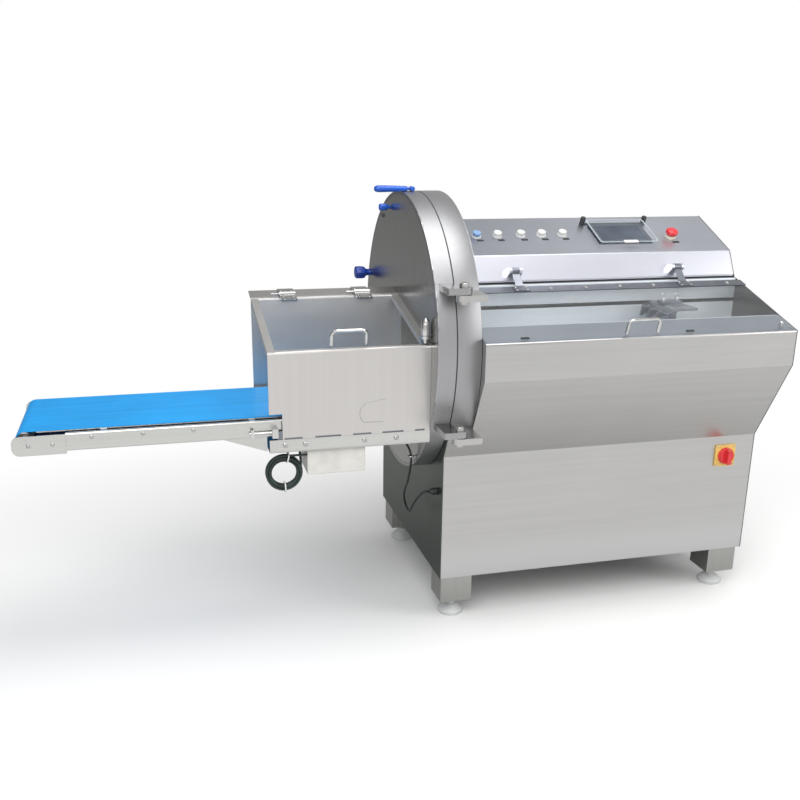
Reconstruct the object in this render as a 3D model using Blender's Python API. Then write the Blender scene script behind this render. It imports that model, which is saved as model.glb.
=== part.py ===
"""Floor-standing slicer for frozen meat blocks.

A cabinet carries a feed trough with a driven carriage. A sickle blade turns in a round housing at its left end.
The left half of the housing is a door on vertical pins, and carries the outfeed guard and its belt conveyor.
Machine coordinates: X runs from the cabinet's left side to its right, Y from the front to the back, Z up.
"""

import math

import bmesh
import bpy
import numpy as np
from mathutils import Matrix, Vector

# Sheet metal and clearances
SHEET = 0.003
BEND_RADIUS = 0.006
SEAT_GAP = 0.0003
RUN_GAP = 0.0008
OVERRUN = 0.012
WELD_OVERLAP = 0.0008

# Cabinet, as seen from its end
CABINET_LENGTH = 1.050
CABINET_DEPTH = 0.720
SKIRT_Z = 0.146
WAIST_Z = 0.542
APRON_TOP_Z = 0.906
APRON_HEIGHT = 0.106
APRON_BOTTOM_Z = APRON_TOP_Z - APRON_HEIGHT
APRON_OVERHANG = 0.135
DECK_DEPTH = 0.098
DECK_ANGLE = math.radians(18.12)
DECK_LIP = 0.020
CONSOLE_Y = 0.207
CONSOLE_FACE_RUN = 0.042
CONSOLE_FACE_RISE = 0.081
CONSOLE_TOP_RUN = 0.203
CONSOLE_TOP_RISE = 0.095
CONSOLE_LIP = 0.028
CONSOLE_REAR_FLANGE = 0.030
REAR_SHOULDER_RISE = 0.054
REAR_SHOULDER_Z = APRON_TOP_Z + REAR_SHOULDER_RISE
SHOULDER_BEHIND_DOOR_Z = 0.690
LOUVRE_COUNT = 6
LOUVRE_LENGTH = 0.240
LOUVRE_HEIGHT = 0.008
LOUVRE_PITCH = 0.030
LOUVRE_Z = 0.300

# Base frame and feet
TUBE = 0.050
LEG_WIDTH = 0.100
LEG_DROP = 0.088
LEG_INSET_X = 0.008
LEG_INSET_Y = 0.010
FOOT_INSET_X = 0.058
FOOT_INSET_Y = 0.063
FOOT_RADIUS = 0.039
FOOT_RIM = 0.010
FOOT_DOME = 0.020
FOOT_NECK_RADIUS = 0.014
STUD_RADIUS = 0.010

# Blade housing, a drum whose axis lies along X
DRUM_Y = 0.322
DRUM_Z = 0.862
DRUM_RADIUS = 0.428
DRUM_FACETS = 64
DOOR_FACE_X = -0.056
DOOR_SPLIT_X = 0.0013
SHELL_BACK_X = 0.0706
FEED_WINDOW_MARGIN = 0.004
OUTLET_FRONT_Y = -0.030
OUTLET_BACK_Y = 0.285
OUTLET_BOTTOM_Z = 0.700
OUTLET_TOP_DROP = 0.016
SHAFT_CLEARANCE = 0.006

# Door hinge lugs
PIN_X = 0.005
PIN_STAND_OFF = 0.022
PIN_Y = DRUM_Y - DRUM_RADIUS - PIN_STAND_OFF
PIN_RADIUS = 0.008
PIN_HEAD_RADIUS = 0.013
PIN_HEAD = 0.008
LUG_NOSE_RADIUS = 0.0225
LUG_THICKNESS = 0.018
LUG_WASHER = 0.002
UPPER_LUG_Z = 1.027
LOWER_LUG_Z = 0.627
DOOR_LUG_LEFT_X = -0.045
FIXED_LUG_RIGHT_X = 0.066

# Blade and its drive
BLADE_INNER_RADIUS = 0.130
BLADE_OUTER_RADIUS = 0.405
BLADE_THICKNESS = 0.006
BLADE_FEED_CLEARANCE = 0.006
BLADE_BEVEL = 0.012
BLADE_STEPS = 60
BLADE_HOLE_RADIUS = 0.030
HUB_RADIUS = 0.070
HUB_THICKNESS = 0.016
SHAFT_RADIUS = 0.020
SHAFT_FACETS = 32
BEARING_RADIUS = 0.055
BEARING_FLANGE_RADIUS = 0.085
BEARING_FLANGE = 0.012
BEARING_LENGTH = 0.115
PULLEY_RADIUS = 0.060
MOTOR_PULLEY_RADIUS = 0.040
PULLEY_WIDTH = 0.040
PULLEY_X = 0.235
BELT_THICKNESS = 0.006
BELT_WIDTH = 0.032
MOTOR_Y = 0.450
MOTOR_Z = 0.330
MOTOR_RADIUS = 0.090
MOTOR_X = 0.300
MOTOR_LENGTH = 0.260
MOTOR_SHAFT_RADIUS = 0.014
MOTOR_FOOT = 0.030
MOTOR_FIN_COUNT = 16
MOTOR_FIN_DEPTH = 0.008
MOTOR_FOOT_SHARES = (0.2, 0.8)

# Feed trough and carriage
TROUGH_BACK_Y = 0.195
TROUGH_DEPTH = 0.116
TROUGH_FLOOR_Z = APRON_TOP_Z - TROUGH_DEPTH
UPPER_WALL_FLANGE = 0.040
RAIL_Y = 0.235
RAIL_RISE = 0.041
RAIL_Z = APRON_TOP_Z + RAIL_RISE
SLOT_DROP = 0.0065
SLOT_HEIGHT = 0.012
SLOT_BOTTOM_Z = RAIL_Z - SLOT_DROP
SLOT_TOP_Z = SLOT_BOTTOM_Z + SLOT_HEIGHT
RAIL_RADIUS = 0.007
SCREW_DROP = 0.042
SCREW_Z = RAIL_Z - SCREW_DROP
SCREW_RADIUS = 0.008
GEARMOTOR_LENGTH = 0.085
GEARMOTOR_DEPTH = 0.080
GEARMOTOR_HEIGHT = 0.066
CARRIAGE_INSET = 0.314
CARRIAGE_X = CABINET_LENGTH - CARRIAGE_INSET
CARRIAGE_WIDTH = 0.080
CARRIAGE_RISE = 0.006
CARRIAGE_TOP_Z = RAIL_Z + CARRIAGE_RISE
CARRIAGE_FRONT_Y = 0.030
PUSHER_THICKNESS = 0.016
PUSHER_FLOOR_CLEARANCE = 0.006
NUT_DEPTH = 0.040
NUT_HEIGHT = 0.078
NUT_WIDTH = 0.060
ARM_THICKNESS = 0.008
CLAW_COUNT = 3
CLAW_LENGTH = 0.034
CLAW_THICKNESS = 0.006
CLAW_HEIGHT = 0.040
CLAW_PITCH = 0.045
CLAW_ROD_RADIUS = 0.005

# Feed cover, a clear sheet that lies on the deck
COVER_THICKNESS = 0.006
COVER_MARGIN_X = 0.004
COVER_FRONT_Y = -0.130
COVER_BACK_Y = 0.172
COVER_PIN_Y = 0.2065
COVER_PIN_RISE = 0.150
COVER_PIN_Z = APRON_TOP_Z + COVER_PIN_RISE
COVER_PIN_RADIUS = 0.005
COVER_HINGE_XS = (0.283, 0.837)
HINGE_BLOCK_WIDTH = 0.022
HINGE_BARREL_RADIUS = 0.010
HINGE_BARREL_WIDTH = 0.024
LEAF_WIDTH = 0.050
LEAF_THICKNESS = 0.004
STRIP_FRONT_Y = 0.134
STRIP_BACK_Y = 0.168
STRIP_THICKNESS = 0.003
HANDLE_ROD_RADIUS = 0.005
HANDLE_LENGTH = 0.098
HANDLE_HEIGHT = 0.042
HANDLE_BEND = 0.014
COVER_HANDLE_X = 0.548
COVER_HANDLE_Y = -0.118

# Controls on the console
BUTTON_X_SHARES = (0.1942857143, 0.2609523810, 0.3361904762, 0.4038095238, 0.4723809524)
BUTTON_XS = tuple(CABINET_LENGTH * share for share in BUTTON_X_SHARES)
BUTTON_SHARE = 0.50
BUTTON_BEZEL_RADIUS = 0.015
BUTTON_BEZEL_HEIGHT = 0.005
BUTTON_CAP_RADIUS = 0.0115
BUTTON_CAP_HEIGHT = 0.010
BUTTON_TRAVEL = 0.003
STOP_X_SHARE = 0.8323809524
STOP_X = CABINET_LENGTH * STOP_X_SHARE
STOP_SHARE = 0.38
STOP_COLLAR_RADIUS = 0.017
STOP_COLLAR_HEIGHT = 0.010
STOP_HEAD_RADIUS = 0.020
STOP_HEAD_HEIGHT = 0.016
STOP_STEM_RADIUS = 0.010
STOP_TRAVEL = 0.004
SCREEN_X_SHARE = 0.5476190476
SCREEN_MIDDLE_X = BUTTON_XS[-1] + (STOP_X - BUTTON_XS[-1]) * SCREEN_X_SHARE
SCREEN_WIDTH = 0.210
SCREEN_DEPTH = 0.150
SCREEN_SHARE = 0.50
SCREEN_RISE = 0.006
SCREEN_COVER_GAP = 0.012
SCREEN_COVER_THICKNESS = 0.004
SCREEN_COVER_MARGIN = 0.006
SCREEN_POST_RADIUS = 0.008
SCREEN_POST_HEIGHT = 0.026
SCREEN_POST_INSET = 0.010

# Main switch on the cabinet front
SWITCH_INSET = 0.101
SWITCH_X = CABINET_LENGTH - SWITCH_INSET
SWITCH_Z = 0.478
SWITCH_PLATE = 0.070
SWITCH_PLATE_THICKNESS = 0.006
SWITCH_DIAL_RADIUS = 0.027
SWITCH_DIAL_HEIGHT = 0.012
SWITCH_GRIP_WIDTH = 0.014
SWITCH_GRIP_HEIGHT = 0.014

# Outfeed guard, carried by the housing door
GUARD_LEFT_X = -0.515
GUARD_FRONT_Y = -0.0446
GUARD_BACK_Y = 0.327
GUARD_FRONT_Z = 0.891
GUARD_BACK_Z = 0.977
GUARD_FRAME_WIDTH = 0.022
GUARD_FLANGE = 0.014
GUARD_RIM_DEPTH = 0.062
TRAY_BOTTOM_Z = 0.606
TRAY_TOP_Z = 0.645
TRAY_BEARER_SHARES = (0.15, 0.85)
SLOT_HEIGHT = 0.005
SLOT_SPANS = ((-0.474, -0.424), (-0.388, -0.315), (-0.281, -0.228), (-0.196, -0.134), (-0.100, -0.072))
NOTCH_RIGHT_X = -0.474
NOTCH_TOP_Z = 0.719
LID_THICKNESS = 0.005
LID_HINGE_XS = (-0.4035, -0.1715)
LID_HINGE_WIDTH = 0.049
LID_HINGE_DEPTH = 0.050
LID_HINGE_THICKNESS = 0.005
LID_BARREL_RADIUS = 0.0075
LID_BARREL_WIDTH = 0.020
LID_PIN_RADIUS = 0.0035
LID_HANDLE_X = -0.289
LID_HANDLE_Y = -0.026
CATCH_X = -0.071
CATCH_Y = -0.030
CATCH_RADIUS = 0.0135
CATCH_HEIGHT = 0.071
CATCH_NECK_RADIUS = 0.006

# Conveyor inside and beyond the guard
CONVEYOR_LEFT_X = -1.1736
BELT_TOP_Z = 0.7066
BELT_SKIN = 0.0024
BELT_FRONT_Y = -0.014
BELT_BACK_Y = 0.306
ROLLER_RADIUS = 0.0219
ROLLER_AXLE_RADIUS = 0.006
DRIVE_ROLLER_X = -0.105
RAIL_FRONT_Y = -0.032
RAIL_TOP_Z = 0.700
RAIL_BOTTOM_Z = 0.651
RAIL_LIP = 0.010
FRAME_LEFT_X = -1.046
NOSE_LEFT_X = -1.182
NOSE_TOP_Z = 0.697
NOSE_BOTTOM_Z = 0.644
NOSE_CORNER = 0.020
CROSS_BAR_XS = (-0.950, -0.560, -0.200)
CROSS_BAR_RADIUS = 0.008
BED_MARGIN = 0.030
GUSSET_LEFT_X = -0.644
GUSSET_RIGHT_X = -0.520

# Box, coil and cable under the guard
BOX_LEFT_X = -0.409
BOX_RIGHT_X = -0.242
BOX_BOTTOM_Z = 0.531
BOX_FRONT_Y = -0.030
BOX_BACK_Y = 0.100
CABLE_DIAMETER = 0.0066
COIL_X = -0.474
COIL_Y = -0.015
COIL_Z = 0.540
COIL_RADIUS = 0.0515
COIL_PITCH = 0.0074
COIL_LAYERS = 4
COIL_LOOPS_PER_LAYER = 2
COIL_POINTS_PER_LOOP = 24
CABLE_POINTS = 56
GLAND_Y = 0.055
GLAND_Z = 0.415
GLAND_RADIUS = 0.011
GLAND_LENGTH = 0.022
CLIP_Z = 0.517
CLIP_Y = 0.105
CLIP_STAND_OFF = 0.012
CLIP_WIRE_RADIUS = 0.0018
CLIP_RING_RADIUS = 0.0085

# Clamps on the housing door
TOP_CLAMP_Y = 0.300
TOP_CLAMP_LIFT = 0.0075
TOP_CLAMP_Z = DRUM_Z + DRUM_RADIUS + TOP_CLAMP_LIFT
TOP_CLAMP_X = -0.024
TOP_CLAMP_TIP_X = -0.140
TOP_GRIP_RADIUS = 0.013
TOP_SHANK_RADIUS = 0.006
TOP_HUB_RADIUS = 0.007
SMALL_KNOB_SHARES = (0.2803738318, 0.8691588785)
SMALL_KNOB_Y = DRUM_Y + DRUM_RADIUS * SMALL_KNOB_SHARES[0]
SMALL_KNOB_Z = DRUM_Z + DRUM_RADIUS * SMALL_KNOB_SHARES[1]
SMALL_KNOB_RADIUS = 0.011
SMALL_KNOB_LENGTH = 0.034
REAR_KNOB_SHARES = (0.9018691589, 0.3084112150)
REAR_KNOB_Y = DRUM_Y + DRUM_RADIUS * REAR_KNOB_SHARES[0]
REAR_KNOB_Z = DRUM_Z + DRUM_RADIUS * REAR_KNOB_SHARES[1]
REAR_KNOB_RADIUS = 0.0225
REAR_KNOB_LENGTH = 0.054
REAR_KNOB_LOBES = 6

# Draw latch that holds the conveyor in the guard
LATCH_Z = 0.667
LATCH_KNOB_X = -0.561
LATCH_KNOB_LENGTH = 0.022
LATCH_KNOB_WIDTH = 0.008
LATCH_ROD_RADIUS = 0.004
LATCH_BLOCK_X = -0.500
LATCH_BLOCK_WIDTH = 0.016
LATCH_BLOCK_HEIGHT = 0.026

# Values that follow from the ones above
DECK_SLOPE = math.tan(DECK_ANGLE)
INNER_SKIN = SHEET + SEAT_GAP
INNER_LEFT_X = INNER_SKIN
INNER_RIGHT_X = CABINET_LENGTH - SEAT_GAP
FIXED_SHELL_LEFT_X = DOOR_SPLIT_X + SEAT_GAP
SHELL_PLATE_X = SHELL_BACK_X - SHEET
BEHIND_SHELL_X = SHELL_BACK_X + SEAT_GAP
NOTCH_Z = LOWER_LUG_Z - LUG_WASHER
GUARD_RIGHT_X = DOOR_FACE_X - SEAT_GAP
BED_FRONT_Y = DECK_DEPTH - APRON_OVERHANG + SEAT_GAP
GUARD_SLOPE = (GUARD_BACK_Z - GUARD_FRONT_Z) / (GUARD_BACK_Y - GUARD_FRONT_Y)
CONVEYOR_BACK_Y = GUARD_BACK_Y - SHEET - SEAT_GAP
ROLLER_Z = BELT_TOP_Z - BELT_SKIN - ROLLER_RADIUS - SEAT_GAP
NOSE_ROLLER_X = CONVEYOR_LEFT_X + BELT_SKIN + ROLLER_RADIUS + SEAT_GAP


def deck_z(y):
    """Height of the sloping deck plane above a place from front to back."""
    return APRON_TOP_Z + (y + APRON_OVERHANG) * DECK_SLOPE


def guard_top_z(y):
    """Height of the guard's sloping top edge."""
    return GUARD_FRONT_Z + (y - GUARD_FRONT_Y) * GUARD_SLOPE


def slope_y(z):
    """Place of the leaning front panel at a height between the waist and the apron."""
    return -APRON_OVERHANG * (z - WAIST_Z) / (APRON_BOTTOM_Z - WAIST_Z)


CONSOLE_FOOT = (CONSOLE_Y, deck_z(CONSOLE_Y))
CONSOLE_EDGE = (CONSOLE_FOOT[0] + CONSOLE_FACE_RUN, CONSOLE_FOOT[1] + CONSOLE_FACE_RISE)
CONSOLE_CREST = (CONSOLE_EDGE[0] + CONSOLE_TOP_RUN, CONSOLE_EDGE[1] + CONSOLE_TOP_RISE)
REAR_SHOULDER = (CABINET_DEPTH, REAR_SHOULDER_Z)
FRONT_OUTLINE = (
    (0, SKIRT_Z),
    (0, WAIST_Z),
    (-APRON_OVERHANG, APRON_BOTTOM_Z),
    (-APRON_OVERHANG, APRON_TOP_Z),
    (DECK_DEPTH - APRON_OVERHANG, deck_z(DECK_DEPTH - APRON_OVERHANG)),
)


# Outlines, as lists of points in one plane


def rectangle(left, right, bottom, top):
    return [(left, bottom), (right, bottom), (right, top), (left, top)]


def arc(centre, radius, start, end, steps):
    """Points on a circle from one angle to another, in degrees."""
    angles = np.radians(np.linspace(start, end, steps + 1))
    return [(centre[0] + radius * math.cos(a), centre[1] + radius * math.sin(a)) for a in angles]


def circle(centre, radius, steps):
    return arc(centre, radius, 0, 360, steps)[:-1]


def towards(start, end, distance):
    run = Vector(end) - Vector(start)
    return Vector(start) + run.normalized() * distance


def folded(points, thickness=SHEET, radius=BEND_RADIUS, steps=2):
    """Outline of a sheet whose outer face follows the points, with its thickness to the right of the way they run."""
    outer, normals = [], []
    last = len(points) - 1
    for index, point in enumerate(points):
        before = (Vector(point) - Vector(points[index - 1])).normalized() if index else None
        after = (Vector(points[index + 1]) - Vector(point)).normalized() if index < last else None
        if before is None or after is None:
            way = after or before
            outer.append(Vector(point))
            normals.append(Vector((way.y, -way.x)))
            continue
        turn = before.angle_signed(after)
        bend = radius if turn > 0 else radius - thickness
        reach = bend * math.tan(abs(turn) / 2)
        side = 1 if turn > 0 else -1
        first = Vector(point) - before * reach
        normal = Vector((before.y, -before.x))
        middle = first + normal * bend * side
        for step in range(steps + 1):
            spoke = normal.copy()
            spoke.rotate(Matrix.Rotation(-turn * step / steps, 2))
            outer.append(middle - spoke * bend * side)
            normals.append(spoke)
    inner = [place + normal * thickness for place, normal in zip(outer, normals)]
    return [tuple(place) for place in outer + inner[::-1]]


# Solids, added to a bmesh


def on_axis(axis, a, b, along):
    """A point from its place in the plane square to the axis and its place along it."""
    return {"X": (along, a, b), "Y": (a, along, b), "Z": (a, b, along)}[axis]


def add_prism(mesh, outline, axis, low, high):
    rings = [[mesh.verts.new(on_axis(axis, a, b, along)) for a, b in outline] for along in (low, high)]
    count = len(outline)
    made = [mesh.faces.new(rings[0]), mesh.faces.new(rings[1][::-1])]
    for index in range(count):
        after = (index + 1) % count
        made.append(mesh.faces.new((rings[0][index], rings[1][index], rings[1][after], rings[0][after])))
    bmesh.ops.recalc_face_normals(mesh, faces=made)


def add_box(mesh, xs, ys, zs):
    add_prism(mesh, rectangle(xs[0], xs[1], ys[0], ys[1]), "Z", zs[0], zs[1])


def add_loft(mesh, rings, closed=False):
    """Joins rings of equal counts into a solid; a ring of one point is a tip."""
    rows = [[mesh.verts.new(point) for point in ring] for ring in rings]
    made = []
    pairs = list(zip(rows, rows[1:] + rows[:1])) if closed else list(zip(rows, rows[1:]))
    for low, high in pairs:
        count = max(len(low), len(high))
        for index in range(count):
            after = (index + 1) % count
            corners = [low[index % len(low)], low[after % len(low)], high[after % len(high)], high[index % len(high)]]
            made.append(mesh.faces.new(list(dict.fromkeys(corners))))
    if not closed:
        made += [mesh.faces.new(row) for row in (rows[0], rows[-1]) if len(row) > 2]
    bmesh.ops.recalc_face_normals(mesh, faces=made)


def add_turned(mesh, axis, centre, profile, steps=24, phase=0.0):
    """Turns a profile of (radius, place along the axis) pairs round an axis."""
    rings = []
    for radius, along in profile:
        if radius == 0:
            rings.append([on_axis(axis, centre[0], centre[1], along)])
            continue
        ring = arc(centre, radius, phase, phase + 360, steps)[:-1]
        rings.append([on_axis(axis, a, b, along) for a, b in ring])
    add_loft(mesh, rings)


def add_rod(mesh, axis, centre, radius, low, high, steps=16):
    add_turned(mesh, axis, centre, [(radius, low), (radius, high)], steps)


def add_ring(mesh, axis, centre, profile, steps=24):
    """Turns a closed profile that stays clear of the axis, for a piece with a bore."""
    rings = []
    for radius, along in profile:
        ring = arc(centre, radius, 0, 360, steps)[:-1]
        rings.append([on_axis(axis, a, b, along) for a, b in ring])
    add_loft(mesh, rings, closed=True)


def add_pipe(mesh, axis, centre, outer, inner, low, high, steps=24):
    add_ring(mesh, axis, centre, [(outer, low), (outer, high), (inner, high), (inner, low)], steps)


def loop_outline(first, first_radius, second, second_radius, steps):
    """A belt's line round two wheels: two arcs joined by straight runs, with the same count of points each time."""
    run = Vector(second) - Vector(first)
    way = math.degrees(math.atan2(run.y, run.x))
    lean = math.degrees(math.acos((first_radius - second_radius) / run.length))
    snug = 1 / math.cos(math.pi / (2 * steps))
    start = arc(first, first_radius * snug, way + lean, way + 360 - lean, steps)
    return start + arc(second, second_radius * snug, way - lean, way + lean, steps)


def add_belt(mesh, axis, first, first_radius, second, second_radius, thickness, low, high, steps=12):
    inner = loop_outline(first, first_radius, second, second_radius, steps)
    outer = loop_outline(first, first_radius + thickness, second, second_radius + thickness, steps)
    corners = [(outer, low), (outer, high), (inner, high), (inner, low)]
    add_loft(mesh, [[on_axis(axis, a, b, along) for a, b in line] for line, along in corners], closed=True)


def add_swept(mesh, points, radius, sides=8):
    """A round rod along a chain of points."""
    chain = [Vector(point) for point in points]
    ways = [(chain[min(i + 1, len(chain) - 1)] - chain[max(i - 1, 0)]).normalized() for i in range(len(chain))]
    across = ways[0].orthogonal().normalized()
    rings = []
    for point, way in zip(chain, ways):
        across = (across - way * across.dot(way)).normalized()
        other = way.cross(across)
        turns = [2 * math.pi * side / sides for side in range(sides)]
        rings.append([point + (across * math.cos(t) + other * math.sin(t)) * radius for t in turns])
    add_loft(mesh, rings)


def rounded_chain(points, radius, steps=3):
    """The chain of points with each inner corner turned into an arc."""
    chain = [Vector(points[0])]
    for before, corner, after in zip(points, points[1:], points[2:]):
        corner = Vector(corner)
        back = (Vector(before) - corner).normalized()
        ahead = (Vector(after) - corner).normalized()
        half = back.angle(ahead) / 2
        reach = radius / math.tan(half)
        middle = corner + (back + ahead).normalized() * radius / math.sin(half)
        first = corner + back * reach - middle
        last = corner + ahead * reach - middle
        for step in range(steps + 1):
            chain.append(middle + first.normalized().slerp(last.normalized(), step / steps) * radius)
    return chain + [Vector(points[-1])]


def join_mesh(whole, mesh):
    data = bpy.data.meshes.new("joined")
    mesh.to_mesh(data)
    mesh.free()
    whole.from_mesh(data)
    bpy.data.meshes.remove(data)


# Objects


PLACES = {}


def pivot(name, place, parent=None):
    """An empty on a joint's axis, which carries the pieces that move about it."""
    empty = bpy.data.objects.new(name, None)
    bpy.context.scene.collection.objects.link(empty)
    empty.empty_display_size = PIN_HEAD_RADIUS
    PLACES[name] = Vector(place)
    if parent is None:
        empty.location = MACHINE_CENTRE * -1
    else:
        empty.parent = parent
        empty.location = PLACES[name] - PLACES[parent.name]
    return empty


def make(name, mesh, finish, parent, smooth=0.0):
    """An object whose origin is at its parent empty; smooth is the angle above which an edge stays sharp."""
    data = bpy.data.meshes.new(name)
    bmesh.ops.translate(mesh, vec=-PLACES[parent.name], verts=mesh.verts)
    mesh.to_mesh(data)
    mesh.free()
    obj = bpy.data.objects.new(name, data)
    bpy.context.scene.collection.objects.link(obj)
    obj.parent = parent
    if finish:
        data.materials.append(finish)
    if smooth:
        data.shade_smooth()
        data.set_sharp_from_angle(angle=math.radians(smooth))
    return obj


def change(obj, mesh, operation):
    """Cuts a helper solid from an object, or joins it to the object."""
    helper = make(f"{obj.name}_{operation.lower()}_{len(obj.modifiers)}", mesh, None, obj.parent)
    helper.hide_render = True
    helper.display_type = "WIRE"
    step = obj.modifiers.new(helper.name, "BOOLEAN")
    step.operation = operation
    step.solver = "EXACT"
    step.object = helper


def cut(obj, mesh):
    change(obj, mesh, "DIFFERENCE")


def weld(obj, mesh):
    change(obj, mesh, "UNION")


def finish(name, colour, roughness, metallic, alpha=1.0):
    material = bpy.data.materials.new(name)
    material.use_nodes = True
    shader = material.node_tree.nodes["Principled BSDF"]
    shader.inputs["Base Color"].default_value = (*colour, 1.0)
    shader.inputs["Roughness"].default_value = roughness
    shader.inputs["Metallic"].default_value = metallic
    shader.inputs["Alpha"].default_value = alpha
    return material


LEFT_END = NOSE_LEFT_X
RIGHT_END = CABINET_LENGTH + SHEET
FRONT_END = PIN_Y - LUG_NOSE_RADIUS
BACK_END = DRUM_Y + DRUM_RADIUS
MACHINE_CENTRE = Vector(((LEFT_END + RIGHT_END) / 2, (FRONT_END + BACK_END) / 2, 0))

for old in list(bpy.data.objects):
    bpy.data.objects.remove(old)

STEEL = finish("brushed stainless", (0.55, 0.55, 0.53), 0.36, 1.0)
BRIGHT_STEEL = finish("bright stainless", (0.68, 0.68, 0.68), 0.22, 1.0)
DARK_STEEL = finish("dark steel", (0.16, 0.17, 0.18), 0.45, 1.0)
BLADE_STEEL = finish("blade steel", (0.72, 0.72, 0.74), 0.15, 1.0)
CLEAR = finish("clear sheet", (0.82, 0.86, 0.88), 0.08, 0.0, 0.35)
BLUE_PLASTIC = finish("blue plastic", (0.02, 0.10, 0.42), 0.35, 0.0)
BELT_BLUE = finish("blue belt", (0.01, 0.30, 0.85), 0.45, 0.0)
WHITE_PLASTIC = finish("white plastic", (0.80, 0.80, 0.76), 0.40, 0.0)
RED_PLASTIC = finish("red plastic", (0.70, 0.03, 0.05), 0.30, 0.0)
YELLOW_PLASTIC = finish("yellow plastic", (0.88, 0.62, 0.16), 0.40, 0.0)
BLACK_RUBBER = finish("black rubber", (0.02, 0.025, 0.025), 0.60, 0.0)
SCREEN_GLASS = finish("dark screen", (0.05, 0.07, 0.11), 0.10, 0.0)
MOTOR_PAINT = finish("grey paint", (0.20, 0.22, 0.24), 0.50, 0.0)

MACHINE = pivot("machine_datum", (0, 0, 0))
DOOR = pivot("door_hinge_axis", (PIN_X, PIN_Y, LOWER_LUG_Z), MACHINE)


# Cabinet


def base_frame():
    """A ring of square tube with cross bars, on four leg blocks, each with its levelling foot."""
    front, back = INNER_SKIN, CABINET_DEPTH - INNER_SKIN
    left, right = INNER_LEFT_X, INNER_RIGHT_X
    top = SKIRT_Z + TUBE
    mesh = bmesh.new()
    add_prism(mesh, rectangle(left, right, front, back), "Z", SKIRT_Z, top)
    frame = make("base_frame", mesh, DARK_STEEL, MACHINE)
    mesh = bmesh.new()
    bars = [left] + [MOTOR_X + share * MOTOR_LENGTH - TUBE / 2 for share in MOTOR_FOOT_SHARES] + [right - TUBE]
    for start, end in zip(bars, bars[1:]):
        bay = ((start + TUBE, end), (front + TUBE, back - TUBE))
        add_box(mesh, bay[0], bay[1], (SKIRT_Z - OVERRUN, top + OVERRUN))
    cut(frame, mesh)
    mesh = bmesh.new()
    for x in (LEG_INSET_X, CABINET_LENGTH - LEG_INSET_X - LEG_WIDTH):
        for y in (LEG_INSET_Y, CABINET_DEPTH - LEG_INSET_Y - LEG_WIDTH):
            add_box(mesh, (x, x + LEG_WIDTH), (y, y + LEG_WIDTH), (SKIRT_Z - LEG_DROP, SKIRT_Z + WELD_OVERLAP))
    weld(frame, mesh)
    mesh = bmesh.new()
    block = SKIRT_Z - LEG_DROP + WELD_OVERLAP
    neck = (FOOT_RIM + FOOT_DOME + block) / 2
    profile = [(0, 0), (FOOT_RADIUS, 0), (FOOT_RADIUS, FOOT_RIM), (FOOT_NECK_RADIUS, FOOT_RIM + FOOT_DOME)]
    profile += [(FOOT_NECK_RADIUS, neck), (STUD_RADIUS, neck), (STUD_RADIUS, block), (0, block)]
    for x in (FOOT_INSET_X, CABINET_LENGTH - FOOT_INSET_X):
        for y in (FOOT_INSET_Y, CABINET_DEPTH - FOOT_INSET_Y):
            add_turned(mesh, "Z", (x, y), profile, 16)
    weld(frame, mesh)


def drum_edge(radius, start_z, end_y):
    """The stretch of a circle round the drum's axis below it, to the cabinet's back or the drum's own."""
    start = 180 + math.degrees(math.asin((DRUM_Z - start_z) / radius))
    end = 360 - math.degrees(math.acos(min(end_y - DRUM_Y, radius) / radius))
    return arc((DRUM_Y, DRUM_Z), radius, start, end, DRUM_FACETS // 3)


def left_side_panel():
    """A flat panel whose top edge follows the drum."""
    radius = DRUM_RADIUS + RUN_GAP
    front = [(0, SKIRT_Z), (0, WAIST_Z), (slope_y(NOTCH_Z), NOTCH_Z)]
    outline = front + drum_edge(radius, NOTCH_Z, CABINET_DEPTH)
    if CABINET_DEPTH > DRUM_Y + radius:
        outline.append((CABINET_DEPTH, DRUM_Z))
    outline.append((CABINET_DEPTH, SKIRT_Z))
    mesh = bmesh.new()
    add_prism(mesh, outline, "X", 0, SHEET)
    make("left_side_panel", mesh, STEEL, MACHINE)


def right_end_panel():
    outline = list(FRONT_OUTLINE[:4]) + [CONSOLE_FOOT, CONSOLE_EDGE, CONSOLE_CREST, REAR_SHOULDER]
    outline.append((CABINET_DEPTH, SKIRT_Z))
    mesh = bmesh.new()
    add_prism(mesh, outline, "X", CABINET_LENGTH, CABINET_LENGTH + SHEET)
    make("right_end_panel", mesh, STEEL, MACHINE)


def front_sheet():
    """One sheet bent into the front, the slope, the apron and the deck, with a lip into the trough."""
    back = FRONT_OUTLINE[-1]
    mesh = bmesh.new()
    add_prism(mesh, folded([*FRONT_OUTLINE, (back[0], back[1] - DECK_LIP)]), "X", INNER_LEFT_X, INNER_RIGHT_X)
    sheet = make("front_sheet", mesh, STEEL, MACHINE, 30)
    mesh = bmesh.new()
    drum_side = BEHIND_SHELL_X + RUN_GAP
    top = deck_z(0) + OVERRUN
    add_box(mesh, (-OVERRUN, drum_side), (-APRON_OVERHANG - OVERRUN, OVERRUN), (NOTCH_Z, top))
    cut(sheet, mesh)
    inset = SHEET / 2
    rear = back[0] - SHEET - SEAT_GAP
    plate = [
        (slope_y(NOTCH_Z) + inset, NOTCH_Z + inset),
        (inset - APRON_OVERHANG, APRON_BOTTOM_Z),
        (inset - APRON_OVERHANG, APRON_TOP_Z - inset),
        (rear, deck_z(rear) - inset),
        (rear, NOTCH_Z + inset),
    ]
    mesh = bmesh.new()
    add_prism(mesh, plate, "X", drum_side + SEAT_GAP, drum_side + SEAT_GAP + SHEET)
    weld(sheet, mesh)


def console_point(share, lift=0.0):
    """Place on the console's control face, as a share of its depth, and the height above it."""
    face = Vector(CONSOLE_CREST) - Vector(CONSOLE_EDGE)
    normal = Vector((-face.y, face.x)).normalized()
    return Vector(CONSOLE_EDGE) + face * share + normal * lift


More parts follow.
